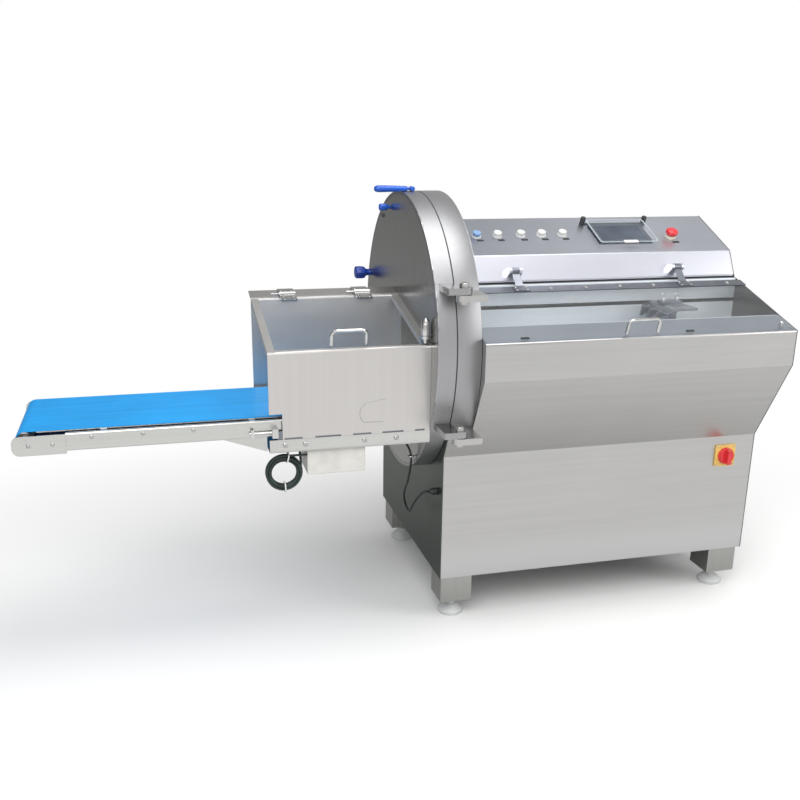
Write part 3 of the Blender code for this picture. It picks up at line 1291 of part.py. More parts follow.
def screen_cover():
    """A clear flap over the screen, turning on two stub pins."""
    angle = console_angle()
    foot = console_point(SCREEN_SHARE)
    hinge = foot + Vector((math.cos(angle), math.sin(angle))) * SCREEN_HINGE
    hinge += Vector((-math.sin(angle), math.cos(angle))) * SCREEN_HINGE_LIFT
    axis = pivot("screen_cover_axis", (SCREEN_MIDDLE_X, hinge.x, hinge.y), MACHINE)
    half = SCREEN_WIDTH / 2 + SCREEN_COVER_MARGIN - SCREEN_POST_RADIUS - RUN_GAP
    mesh = bmesh.new()
    top = SCREEN_COVER_GAP + SCREEN_COVER_THICKNESS
    add_box(mesh, (-half, half), (-SCREEN_DEPTH / 2, SCREEN_HINGE), (SCREEN_COVER_GAP, top))
    tilt_to_console(mesh, SCREEN_MIDDLE_X, SCREEN_SHARE)
    cover = make("screen_cover", mesh, CLEAR, axis)
    mesh = bmesh.new()
    reach = SCREEN_WIDTH / 2 + SCREEN_COVER_MARGIN
    add_rod(mesh, "X", (SCREEN_HINGE, SCREEN_HINGE_LIFT), SCREEN_PIN_RADIUS, -reach, reach)
    tilt_to_console(mesh, SCREEN_MIDDLE_X, SCREEN_SHARE)
    weld(cover, mesh)


SWITCH_FACE_Y = -SWITCH_PLATE_THICKNESS
SWITCH = pivot("main_switch_axis", (SWITCH_X, SWITCH_FACE_Y, SWITCH_Z), MACHINE)


def main_switch_plate():
    mesh = bmesh.new()
    half = SWITCH_PLATE / 2
    ends = (SWITCH_FACE_Y, -SEAT_GAP)
    add_box(mesh, (SWITCH_X - half, SWITCH_X + half), ends, (SWITCH_Z - half, SWITCH_Z + half))
    make("main_switch_plate", mesh, YELLOW_PLASTIC, MACHINE)


def main_switch_knob():
    """A dial with a raised grip across it."""
    face = SWITCH_FACE_Y - SEAT_GAP
    step = face - SWITCH_DIAL_HEIGHT
    mesh = bmesh.new()
    rim = SWITCH_DIAL_RADIUS - SWITCH_DIAL_HEIGHT / 4
    profile = [(0, face), (SWITCH_DIAL_RADIUS, face), (SWITCH_DIAL_RADIUS, step / 2 + face / 2), (rim, step), (0, step)]
    add_turned(mesh, "Y", (SWITCH_X, SWITCH_Z), profile, 32)
    knob = make("main_switch_knob", mesh, RED_PLASTIC, SWITCH, 40)
    mesh = bmesh.new()
    half = SWITCH_GRIP_WIDTH / 2
    length = rim - WELD_OVERLAP
    ends = (step - SWITCH_GRIP_HEIGHT, step + WELD_OVERLAP)
    add_box(mesh, (SWITCH_X - half, SWITCH_X + half), ends, (SWITCH_Z - length, SWITCH_Z + length))
    weld(knob, mesh)


# Outfeed guard


GUARD_ANGLE = math.atan(GUARD_SLOPE)
LID_PIN_LIFT = LID_BARREL_RADIUS + 2 * RUN_GAP
LID_PIN_BACK_Y = GUARD_BACK_Y + LID_BARREL_RADIUS


def on_guard(y, lift):
    """A point above the plane of the guard's top edge, measured square to it."""
    return (y - lift * math.sin(GUARD_ANGLE), guard_top_z(y) + lift * math.cos(GUARD_ANGLE))


LID_PIN = on_guard(LID_PIN_BACK_Y, LID_PIN_LIFT)
LID = pivot("guard_lid_axis", (GUARD_LEFT_X, *LID_PIN), DOOR)


def guard_box():
    """Front and back walls joined by a sloping strip at each open end; the back wall's rim holds the hinges."""
    foot = TRAY_TOP_Z + SEAT_GAP
    front = [(GUARD_FRONT_Y, foot), (GUARD_FRONT_Y, GUARD_FRONT_Z), on_guard(GUARD_FRONT_Y + GUARD_FLANGE, 0)]
    rim = GUARD_BACK_Y + GUARD_RIM_DEPTH
    back = [on_guard(rim, -SHEET), on_guard(GUARD_BACK_Y, -SHEET), (GUARD_BACK_Y, foot)]
    mesh = bmesh.new()
    for path in (front, back):
        add_prism(mesh, folded(path), "X", GUARD_LEFT_X, GUARD_RIGHT_X)
    box = make("guard_box", mesh, STEEL, DOOR, 30)
    inset = SHEET / 2
    mesh = bmesh.new()
    strip = [on_guard(GUARD_FRONT_Y + inset, -SEAT_GAP), on_guard(GUARD_BACK_Y - inset, -SEAT_GAP)]
    strip += [on_guard(GUARD_BACK_Y - inset, -GUARD_FLANGE), on_guard(GUARD_FRONT_Y + inset, -GUARD_FLANGE)]
    for left in (GUARD_LEFT_X, GUARD_RIGHT_X - GUARD_FRAME_WIDTH):
        add_prism(mesh, strip, "X", left + SEAT_GAP, left + GUARD_FRAME_WIDTH - SEAT_GAP)
    weld(box, mesh)
    mesh = bmesh.new()
    ys = (GUARD_FRONT_Y - OVERRUN, GUARD_FRONT_Y + OVERRUN)
    add_box(mesh, (GUARD_LEFT_X - OVERRUN, NOTCH_RIGHT_X - SLOT_HEIGHT), ys, (foot - OVERRUN, NOTCH_TOP_Z))
    for span in SLOT_SPANS:
        add_box(mesh, span, ys, (foot - OVERRUN, foot + SLOT_HEIGHT))
    cut(box, mesh)


def guard_tray():
    """The guard's bent floor, with two bearers that carry the conveyor's rails."""
    path = [(GUARD_BACK_Y, TRAY_TOP_Z), (GUARD_BACK_Y, TRAY_BOTTOM_Z)]
    path += [(GUARD_FRONT_Y, TRAY_BOTTOM_Z), (GUARD_FRONT_Y, TRAY_TOP_Z)]
    mesh = bmesh.new()
    add_prism(mesh, folded(path), "X", GUARD_LEFT_X, GUARD_RIGHT_X)
    tray = make("guard_tray", mesh, STEEL, DOOR, 30)
    mesh = bmesh.new()
    ys = (GUARD_FRONT_Y + SHEET / 2, GUARD_BACK_Y - SHEET / 2)
    zs = (TRAY_BOTTOM_Z + SHEET / 2, RAIL_BOTTOM_Z - SEAT_GAP)
    for share in TRAY_BEARER_SHARES:
        x = GUARD_LEFT_X + share * (GUARD_RIGHT_X - GUARD_LEFT_X)
        add_box(mesh, (x - GUARD_FRAME_WIDTH / 2, x + GUARD_FRAME_WIDTH / 2), ys, zs)
    weld(tray, mesh)
    mesh = bmesh.new()
    walls = (TRAY_TOP_Z, TRAY_TOP_Z + OVERRUN)
    for wall in (GUARD_FRONT_Y, GUARD_BACK_Y - SHEET):
        ends = (GUARD_LEFT_X - OVERRUN, GUARD_RIGHT_X + OVERRUN)
        add_box(mesh, ends, (wall - OVERRUN / 2, wall + SHEET + RUN_GAP), walls)
    cut(tray, mesh)


def guard_lid():
    """A clear sheet on the guard's top edge, with a corner cut out for the catch."""
    low, high = SEAT_GAP, SEAT_GAP + LID_THICKNESS
    rear = LID_PIN_BACK_Y - LID_BARREL_RADIUS - RUN_GAP
    corners = [(GUARD_FRONT_Y, low), (rear, low), (rear, high), (GUARD_FRONT_Y, high)]
    mesh = bmesh.new()
    add_prism(mesh, [on_guard(y, lift) for y, lift in corners], "X", GUARD_LEFT_X, GUARD_RIGHT_X)
    lid = make("guard_lid", mesh, CLEAR, LID)
    mesh = bmesh.new()
    reach = CATCH_RADIUS + RUN_GAP
    zs = (GUARD_FRONT_Z - OVERRUN, GUARD_BACK_Z)
    add_box(mesh, (CATCH_X - reach, OVERRUN), (GUARD_FRONT_Y - OVERRUN, CATCH_Y + reach), zs)
    cut(lid, mesh)


def add_hinge_leaf(mesh, x, side, low, width):
    """One leaf on the sloping plane: side is 1 behind the pin and -1 in front of it."""
    near = LID_PIN_BACK_Y + side * (LID_BARREL_RADIUS + RUN_GAP)
    far = LID_PIN_BACK_Y + side * LID_HINGE_DEPTH
    high = low + LID_HINGE_THICKNESS
    corners = [(near, low), (far, low), (far, high), (near, high)]
    add_prism(mesh, [on_guard(y, lift) for y, lift in corners], "X", x - width / 2, x + width / 2)


def add_hinge_fingers(mesh, side, low, barrel_xs):
    """The short necks between a leaf and its barrels."""
    near = LID_PIN_BACK_Y
    far = LID_PIN_BACK_Y + side * (LID_BARREL_RADIUS + 2 * RUN_GAP)
    high = low + LID_HINGE_THICKNESS
    corners = [(near, low + WELD_OVERLAP), (far, low + WELD_OVERLAP)]
    corners += [(far, high - WELD_OVERLAP), (near, high - WELD_OVERLAP)]
    for ends in barrel_xs:
        inner = (ends[0] + SEAT_GAP, ends[1] - SEAT_GAP)
        add_prism(mesh, [on_guard(y, lift) for y, lift in corners], "X", *inner)


def middle_barrel(x):
    return [(x - LID_BARREL_WIDTH / 2, x + LID_BARREL_WIDTH / 2)]


def outer_barrels(x):
    inner = LID_BARREL_WIDTH / 2 + SEAT_GAP
    return [(x - LID_HINGE_WIDTH / 2, x - inner), (x + inner, x + LID_HINGE_WIDTH / 2)]


def guard_lid_hinge_block(name, x):
    """A fixed leaf on the guard's rear rim, with the pin that the lid's leaf turns on."""
    mesh = bmesh.new()
    add_hinge_leaf(mesh, x, 1, SEAT_GAP, LID_HINGE_WIDTH)
    block = make(name, mesh, BRIGHT_STEEL, DOOR, 40)
    mesh = bmesh.new()
    add_hinge_fingers(mesh, 1, SEAT_GAP, outer_barrels(x))
    weld(block, mesh)
    mesh = bmesh.new()
    for ends in outer_barrels(x):
        add_rod(mesh, "X", LID_PIN, LID_BARREL_RADIUS, *ends)
    weld(block, mesh)
    mesh = bmesh.new()
    left = x - LID_HINGE_WIDTH / 2 - LID_HINGE_DEPTH / 2
    add_rod(mesh, "X", LID_PIN, LID_PIN_RADIUS, left, x + LID_HINGE_WIDTH / 2 - SEAT_GAP)
    weld(block, mesh)


def guard_lid_leaf(name, x):
    """The leaf that carries the lid, with its barrel between those of the fixed leaf."""
    low = LID_THICKNESS + 2 * SEAT_GAP
    mesh = bmesh.new()
    add_hinge_leaf(mesh, x, -1, low, LID_HINGE_WIDTH)
    leaf = make(name, mesh, BRIGHT_STEEL, LID, 40)
    mesh = bmesh.new()
    add_hinge_fingers(mesh, -1, low, middle_barrel(x))
    weld(leaf, mesh)
    mesh = bmesh.new()
    for ends in middle_barrel(x):
        add_rod(mesh, "X", LID_PIN, LID_BARREL_RADIUS, *ends)
    weld(leaf, mesh)
    mesh = bmesh.new()
    half = LID_BARREL_WIDTH / 2 + OVERRUN
    add_rod(mesh, "X", LID_PIN, LID_PIN_RADIUS + SEAT_GAP, x - half, x + half)
    cut(leaf, mesh)


def guard_lid_handle():
    mesh = bmesh.new()
    add_handle(mesh, LID_HANDLE_X, on_guard(LID_HANDLE_Y, LID_THICKNESS + 2 * SEAT_GAP), GUARD_ANGLE)
    make("guard_lid_handle", mesh, BRIGHT_STEEL, LID, 40)


def lid_pull_pin():
    """A bulb-shaped knob on a neck, lifted to free the lid's corner."""
    base = guard_top_z(CATCH_Y + CATCH_NECK_RADIUS) + SEAT_GAP
    shares = ((0.0, 0.45), (0.35, 0.45), (0.45, 0.6), (0.6, 0.92), (0.75, 1.0), (0.9, 0.8), (1.0, 0.35))
    profile = [(0, base)]
    profile += [(CATCH_RADIUS * wide, base + CATCH_HEIGHT * high) for high, wide in shares]
    profile.append((0, base + CATCH_HEIGHT))
    mesh = bmesh.new()
    add_turned(mesh, "Z", (CATCH_X, CATCH_Y), profile, 16)
    make("lid_pull_pin", mesh, BRIGHT_STEEL, pivot("lid_pull_pin_axis", (CATCH_X, CATCH_Y, base), DOOR), 40)


# Conveyor


NOSE_ROLLER = pivot("nose_roller_axis", (NOSE_ROLLER_X, BELT_FRONT_Y, ROLLER_Z), DOOR)
DRIVE_ROLLER = pivot("drive_roller_axis", (DRIVE_ROLLER_X, BELT_FRONT_Y, ROLLER_Z), DOOR)
FRAME_RIGHT_X = DRIVE_ROLLER_X + BED_MARGIN


def conveyor_frame():
    """Two channel rails, joined by bars that carry the slider bed under the belt."""
    near, far = RAIL_FRONT_Y, CONVEYOR_BACK_Y
    front = [(near + RAIL_LIP, RAIL_BOTTOM_Z), (near, RAIL_BOTTOM_Z), (near, RAIL_TOP_Z), (near + RAIL_LIP, RAIL_TOP_Z)]
    back = [(far - RAIL_LIP, RAIL_TOP_Z), (far, RAIL_TOP_Z), (far, RAIL_BOTTOM_Z), (far - RAIL_LIP, RAIL_BOTTOM_Z)]
    mesh = bmesh.new()
    for path in (front, back):
        add_prism(mesh, folded(path, radius=SHEET + RUN_GAP), "X", FRAME_LEFT_X, FRAME_RIGHT_X)
    frame = make("conveyor_frame", mesh, STEEL, DOOR, 30)
    bed_top = BELT_TOP_Z - BELT_SKIN - SEAT_GAP
    bed_low = bed_top - SHEET
    mesh = bmesh.new()
    ends = (NOSE_ROLLER_X + BED_MARGIN, DRIVE_ROLLER_X - BED_MARGIN)
    add_box(mesh, ends, (BELT_FRONT_Y, BELT_BACK_Y), (bed_low, bed_top))
    gusset = [(GUSSET_LEFT_X, RAIL_BOTTOM_Z + SHEET / 2), (GUSSET_RIGHT_X, RAIL_BOTTOM_Z + SHEET / 2)]
    gusset.append((GUSSET_RIGHT_X, TRAY_BOTTOM_Z + SHEET))
    add_prism(mesh, gusset, "Y", near + RAIL_LIP / 3, near + RAIL_LIP * 2 / 3)
    weld(frame, mesh)
    mesh = bmesh.new()
    for x in CROSS_BAR_XS:
        xs = (x - CROSS_BAR_RADIUS, x + CROSS_BAR_RADIUS)
        zs = (ROLLER_Z - CROSS_BAR_RADIUS, bed_low + WELD_OVERLAP)
        add_box(mesh, xs, (near + SHEET / 2, far - SHEET / 2), zs)
    weld(frame, mesh)
    mesh = bmesh.new()
    hole = ROLLER_AXLE_RADIUS + SEAT_GAP
    add_rod(mesh, "Y", (DRIVE_ROLLER_X, ROLLER_Z), hole, near - OVERRUN, far + OVERRUN)
    cut(frame, mesh)


def conveyor_nose():
    """Two side plates with rounded ends over a bent floor plate."""
    right = FRAME_LEFT_X - SEAT_GAP
    corner = NOSE_CORNER
    side = [(right, NOSE_BOTTOM_Z), (right, NOSE_TOP_Z)]
    side += arc((NOSE_LEFT_X + corner, NOSE_TOP_Z - corner), corner, 90, 180, 5)
    side += arc((NOSE_LEFT_X + corner, NOSE_BOTTOM_Z + corner), corner, 180, 270, 5)
    mesh = bmesh.new()
    for y in (RAIL_FRONT_Y, CONVEYOR_BACK_Y - SHEET):
        add_prism(mesh, side, "Y", y, y + SHEET)
    nose = make("conveyor_nose", mesh, STEEL, DOOR, 30)
    mesh = bmesh.new()
    knee = NOSE_LEFT_X + 3 * corner
    floor = [(right - SHEET, NOSE_BOTTOM_Z + WELD_OVERLAP), (knee, NOSE_BOTTOM_Z + WELD_OVERLAP)]
    floor += [(knee - corner, NOSE_BOTTOM_Z + SHEET), (knee - corner, NOSE_BOTTOM_Z + 2 * SHEET)]
    floor += [(knee, NOSE_BOTTOM_Z + SHEET + WELD_OVERLAP), (right - SHEET, NOSE_BOTTOM_Z + SHEET + WELD_OVERLAP)]
    add_prism(mesh, floor, "Y", RAIL_FRONT_Y + SHEET / 2, CONVEYOR_BACK_Y - SHEET / 2)
    weld(nose, mesh)
    mesh = bmesh.new()
    hole = ROLLER_AXLE_RADIUS + SEAT_GAP
    ends = (RAIL_FRONT_Y - OVERRUN, CONVEYOR_BACK_Y + OVERRUN)
    add_rod(mesh, "Y", (NOSE_ROLLER_X, ROLLER_Z), hole, *ends)
    cut(nose, mesh)


def roller(name, x, axis):
    """A roller under the belt, on an axle that ends flush with the frame."""
    profile = [
        (0, RAIL_FRONT_Y),
        (ROLLER_AXLE_RADIUS, RAIL_FRONT_Y),
        (ROLLER_AXLE_RADIUS, BELT_FRONT_Y),
        (ROLLER_RADIUS, BELT_FRONT_Y),
        (ROLLER_RADIUS, BELT_BACK_Y),
        (ROLLER_AXLE_RADIUS, BELT_BACK_Y),
        (ROLLER_AXLE_RADIUS, CONVEYOR_BACK_Y),
        (0, CONVEYOR_BACK_Y),
    ]
    mesh = bmesh.new()
    add_turned(mesh, "Y", (x, ROLLER_Z), profile)
    make(name, mesh, BRIGHT_STEEL, axis, 40)


def conveyor_belt():
    wheel = ROLLER_RADIUS + SEAT_GAP
    mesh = bmesh.new()
    ends = ((NOSE_ROLLER_X, ROLLER_Z), wheel, (DRIVE_ROLLER_X, ROLLER_Z), wheel)
    add_belt(mesh, "Y", *ends, BELT_SKIN, BELT_FRONT_Y, BELT_BACK_Y)
    make("conveyor_belt", mesh, BELT_BLUE, DOOR, 40)


def conveyor_control_box():
    mesh = bmesh.new()
    add_box(mesh, (BOX_LEFT_X, BOX_RIGHT_X), (BOX_FRONT_Y, BOX_BACK_Y), (BOX_BOTTOM_Z, TRAY_BOTTOM_Z - SEAT_GAP))
    bmesh.ops.bevel(mesh, geom=mesh.edges, offset=SHEET, segments=2, affect="EDGES", profile=0.5)
    make("conveyor_control_box", mesh, WHITE_PLASTIC, DOOR, 40)


# Cable


CABLE_ROUTE = (
    (-0.4243, -0.0039, 0.5472),
    (-0.4243, -0.0039, 0.5600),
    (-0.4240, 0.0100, 0.5850),
    (-0.4230, 0.0500, 0.5930),
    (-0.4180, 0.1000, 0.5930),
    (-0.3950, 0.1250, 0.5930),
    (-0.3300, 0.1350, 0.5900),
    (-0.2200, 0.1400, 0.5900),
    (-0.1200, 0.1480, 0.5900),
    (-0.0850, 0.1300, 0.5620),
    (-0.0680, 0.1050, 0.5170),
    (-0.0640, 0.1450, 0.4300),
    (-0.0480, 0.2450, 0.3520),
    (-0.0440, 0.2550, 0.3080),
    (-0.0520, 0.1700, 0.3080),
    (-0.0600, 0.0900, 0.3700),
    (-0.0420, 0.0550, 0.4150),
    (-0.0223, 0.0550, 0.4150),
)


def coil_points():
    """Loops that spiral in and out in turn, and climb a layer in the half turn where the spiral reverses."""
    loops = COIL_LAYERS * COIL_LOOPS_PER_LAYER
    steps = int((loops - 0.25) * COIL_POINTS_PER_LOOP)
    first = COIL_Y - (COIL_LAYERS - 1) / 2 * COIL_PITCH
    points = []
    for step in range(steps + 1):
        turn = step / COIL_POINTS_PER_LOOP
        layer, within = divmod(turn, COIL_LOOPS_PER_LAYER)
        inward = within if layer % 2 == 0 else COIL_LOOPS_PER_LAYER - within
        radius = COIL_RADIUS - inward * COIL_PITCH
        climb = layer
        if within > COIL_LOOPS_PER_LAYER - 0.25 and layer < COIL_LAYERS - 1:
            climb += (within - COIL_LOOPS_PER_LAYER + 0.25) * 2
        if within < 0.25 and layer > 0:
            climb -= (0.25 - within) * 2
        angle = math.pi / 2 + 2 * math.pi * turn
        place = (COIL_X + radius * math.cos(angle), first + climb * COIL_PITCH, COIL_Z + radius * math.sin(angle))
        points.append(Vector(place))
    return points


def least_gap(points):
    """The least clear distance between turns of a tube, on its own points."""
    places = np.array([tuple(point) for point in points])
    apart = np.linalg.norm(places[:, None] - places[None], axis=2)
    order = np.arange(len(places))
    turns_apart = np.abs(order[:, None] - order[None]) > COIL_POINTS_PER_LOOP / 2
    return float(apart[turns_apart].min()) - CABLE_DIAMETER


def smooth_route(route, count):
    """Evenly spaced points on a smooth curve through the route's points."""
    ends = [2 * Vector(route[0]) - Vector(route[1]), 2 * Vector(route[-1]) - Vector(route[-2])]
    chain = [ends[0], *[Vector(point) for point in route], ends[1]]
    fine = []
    for a, b, c, d in zip(chain, chain[1:], chain[2:], chain[3:]):
        for step in range(20):
            t = step / 20
            fine.append(((b * 2) + (c - a) * t + (a * 2 - b * 5 + c * 4 - d) * t**2 + (b * 3 - a - c * 3 + d) * t**3) / 2)
    fine = np.array([tuple(point) for point in fine] + [tuple(chain[-2])])
    lengths = np.concatenate([[0], np.cumsum(np.linalg.norm(np.diff(fine, axis=0), axis=1))])
    even = np.linspace(0, lengths[-1], count)
    return [Vector([np.interp(place, lengths, fine[:, axis]) for axis in range(3)]) for place in even]


def cable_tube(name, points, resolution, parent):
    """A round tube along a chain of points, with closed ends."""
    curve = bpy.data.curves.new(name, "CURVE")
    curve.dimensions = "3D"
    curve.bevel_depth = CABLE_DIAMETER / 2
    curve.bevel_resolution = resolution
    curve.use_fill_caps = True
    line = curve.splines.new("POLY")
    line.points.add(len(points) - 1)
    for spot, place in zip(line.points, points):
        spot.co = (*(place - PLACES[parent.name]), 1)
    curve.materials.append(BLACK_RUBBER)
    tube = bpy.data.objects.new(name, curve)
    bpy.context.scene.collection.objects.link(tube)
    tube.parent = parent


def cable_coil():
    loops = coil_points()
    lead = Vector((BOX_LEFT_X - SEAT_GAP, loops[0].y, loops[0].z))
    tail = loops[-1] + Vector((0, 0, CABLE_DIAMETER))
    print("coil: least gap to itself", round(least_gap(loops) * 1000, 2), "mm")
    cable_tube("cable_coil", [lead, lead + (loops[0] - lead) / 2, *loops, tail], 1, DOOR)


def motor_cable():
    cable_tube("motor_cable", smooth_route(CABLE_ROUTE, CABLE_POINTS), 2, DOOR)


def cable_gland():
    profile = [(0, -GLAND_LENGTH), (GLAND_RADIUS * 0.6, -GLAND_LENGTH), (GLAND_RADIUS, -GLAND_LENGTH * 0.6)]
    profile += [(GLAND_RADIUS, -SEAT_GAP), (0, -SEAT_GAP)]
    mesh = bmesh.new()
    add_turned(mesh, "X", (GLAND_Y, GLAND_Z), profile, 16)
    make("cable_gland", mesh, BLACK_RUBBER, MACHINE, 40)


def cable_clip():
    """A ring on a short plate at the door's face."""
    x = DOOR_FACE_X - CLIP_STAND_OFF
    profile = circle((CLIP_RING_RADIUS, CLIP_Z), CLIP_WIRE_RADIUS, 8)
    mesh = bmesh.new()
    add_ring(mesh, "Z", (x, CLIP_Y), profile, 20)
    clip = make("cable_clip", mesh, BRIGHT_STEEL, DOOR, 40)
    mesh = bmesh.new()
    xs = (x + CLIP_RING_RADIUS, DOOR_FACE_X - SEAT_GAP)
    ys = (CLIP_Y - CLIP_RING_RADIUS / 2, CLIP_Y + CLIP_RING_RADIUS / 2)
    add_box(mesh, xs, ys, (CLIP_Z - CLIP_WIRE_RADIUS / 2, CLIP_Z + CLIP_WIRE_RADIUS / 2))
    weld(clip, mesh)


# Clamps and latch


def top_clamp_lever():
    """A cam lever across the top of the door: hub, shank and thick grip."""
    axis = pivot("top_clamp_axis", (TOP_CLAMP_X, TOP_CLAMP_Y, TOP_CLAMP_Z), DOOR)
    start = DOOR_FACE_X - 2 * OVERRUN / 3
    round_end = TOP_GRIP_RADIUS / 2
    profile = [
        (0, TOP_CLAMP_TIP_X),
        (TOP_GRIP_RADIUS * 0.7, TOP_CLAMP_TIP_X),
        (TOP_GRIP_RADIUS, TOP_CLAMP_TIP_X + round_end),
        (TOP_GRIP_RADIUS, start - round_end),
        (TOP_SHANK_RADIUS, start),
        (TOP_SHANK_RADIUS, TOP_CLAMP_X),
        (0, TOP_CLAMP_X),
    ]
    mesh = bmesh.new()
    add_turned(mesh, "X", (TOP_CLAMP_Y, TOP_CLAMP_Z), profile, 16)
    lever = make("top_clamp_lever", mesh, BLUE_PLASTIC, axis, 40)
    mesh = bmesh.new()
    half = TOP_GRIP_RADIUS
    add_rod(mesh, "Y", (TOP_CLAMP_X, TOP_CLAMP_Z), TOP_HUB_RADIUS, TOP_CLAMP_Y - half, TOP_CLAMP_Y + half)
    weld(lever, mesh)


def small_clamp_knob():
    face = DOOR_FACE_X - SEAT_GAP
    axis = pivot("small_clamp_axis", (face, SMALL_KNOB_Y, SMALL_KNOB_Z), DOOR)
    tip = face - SMALL_KNOB_LENGTH
    stem = SMALL_KNOB_RADIUS / 2
    profile = [(0, tip), (SMALL_KNOB_RADIUS * 0.8, tip), (SMALL_KNOB_RADIUS, tip + stem)]
    profile += [(SMALL_KNOB_RADIUS, face - SMALL_KNOB_RADIUS), (stem, face - stem), (stem, face), (0, face)]
    mesh = bmesh.new()
    add_turned(mesh, "X", (SMALL_KNOB_Y, SMALL_KNOB_Z), profile, 16)
    make("small_clamp_knob", mesh, BLUE_PLASTIC, axis, 40)


def rear_clamp_knob():
    """A lobed hand knob on a round stem."""
    face = DOOR_FACE_X - SEAT_GAP
    axis = pivot("rear_clamp_axis", (face, REAR_KNOB_Y, REAR_KNOB_Z), DOOR)
    tip = face - REAR_KNOB_LENGTH
    heel = face - REAR_KNOB_LENGTH / 2
    outline = []
    for step in range(REAR_KNOB_LOBES * 6):
        angle = 2 * math.pi * step / (REAR_KNOB_LOBES * 6)
        radius = REAR_KNOB_RADIUS * (0.9 + 0.1 * math.cos(REAR_KNOB_LOBES * angle))
        outline.append((REAR_KNOB_Y + radius * math.cos(angle), REAR_KNOB_Z + radius * math.sin(angle)))
    mesh = bmesh.new()
    add_prism(mesh, outline, "X", tip, heel)
    knob = make("rear_clamp_knob", mesh, BLUE_PLASTIC, axis, 40)
    mesh = bmesh.new()
    add_rod(mesh, "X", (REAR_KNOB_Y, REAR_KNOB_Z), REAR_KNOB_RADIUS / 2, heel - WELD_OVERLAP, face)
    weld(knob, mesh)


LATCH_BLOCK_DEPTH = 2 * (LATCH_ROD_RADIUS + LATCH_KNOB_WIDTH)
LATCH_Y = RAIL_FRONT_Y - SEAT_GAP - LATCH_BLOCK_DEPTH / 2
LATCH = pivot("latch_axis", (LATCH_BLOCK_X, LATCH_Y, LATCH_Z), DOOR)


def latch_bracket():
    """A drilled block on the front rail, standing out through the guard's notch."""
    xs = (LATCH_BLOCK_X - LATCH_BLOCK_WIDTH / 2, LATCH_BLOCK_X + LATCH_BLOCK_WIDTH / 2)
    ys = (LATCH_Y - LATCH_BLOCK_DEPTH / 2, LATCH_Y + LATCH_BLOCK_DEPTH / 2)
    mesh = bmesh.new()
    add_box(mesh, xs, ys, (LATCH_Z - LATCH_BLOCK_HEIGHT / 2, LATCH_Z + LATCH_BLOCK_HEIGHT / 2))
    bracket = make("latch_bracket", mesh, BRIGHT_STEEL, DOOR)
    mesh = bmesh.new()
    add_rod(mesh, "X", (LATCH_Y, LATCH_Z), LATCH_ROD_RADIUS + SEAT_GAP, xs[0] - OVERRUN, xs[1] + OVERRUN)
    cut(bracket, mesh)


def latch_screw():
    """A rod with a cross handle, turned by hand to hold the conveyor in the guard."""
    right = LATCH_BLOCK_X + LATCH_BLOCK_WIDTH / 2
    left = LATCH_KNOB_X - LATCH_KNOB_WIDTH
    mesh = bmesh.new()
    add_rod(mesh, "X", (LATCH_Y, LATCH_Z), LATCH_ROD_RADIUS, left, right, 12)
    screw = make("latch_screw", mesh, BRIGHT_STEEL, LATCH, 40)
    mesh = bmesh.new()
    half = LATCH_KNOB_LENGTH / 2
    xs = (LATCH_KNOB_X - LATCH_KNOB_WIDTH / 2, LATCH_KNOB_X + LATCH_KNOB_WIDTH / 2)
    ys = (LATCH_Y - LATCH_KNOB_WIDTH / 2, LATCH_Y + LATCH_KNOB_WIDTH / 2)
    add_box(mesh, xs, ys, (LATCH_Z - half, LATCH_Z + half))
    weld(screw, mesh)


base_frame()
left_side_panel()
right_end_panel()
front_sheet()
console_sheet()
rear_cover()
feed_bed()
trough_upper_wall()
fixed_blade_shell()
blade_door()
blade()
blade_shaft()
bearing_housing()
driven_pulley()
motor_pulley()
drive_belt()
drive_motor()
guide_rail()
feed_screw()
feed_gearmotor()
carriage()
gripper_claws()
feed_cover()
feed_cover_fittings()
feed_cover_handle()
push_buttons()
stop_button()
screen_panel()
screen_cover()
main_switch_plate()
main_switch_knob()
guard_box()
guard_tray()
guard_lid()
for side, hinge_x in zip(("left", "right"), LID_HINGE_XS):
    guard_lid_hinge_block(f"guard_lid_hinge_{side}", hinge_x)
    guard_lid_leaf(f"guard_lid_leaf_{side}", hinge_x)
guard_lid_handle()
lid_pull_pin()
conveyor_frame()
conveyor_nose()
roller("drive_roller", DRIVE_ROLLER_X, DRIVE_ROLLER)
roller("nose_roller", NOSE_ROLLER_X, NOSE_ROLLER)
conveyor_belt()
conveyor_control_box()
cable_coil()
motor_cable()
cable_gland()
cable_clip()
top_clamp_lever()
small_clamp_knob()
rear_clamp_knob()
latch_bracket()
latch_screw()
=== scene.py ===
"""Looks of a floor-standing slicer for frozen meat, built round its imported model.

Places are written in the machine's own coordinates: X from the cabinet's left side to its right,
Y from its lower front to the back, Z up from the floor, all in metres.
"""

import math

import bmesh
import bpy
import numpy as np
from mathutils import Matrix, Vector

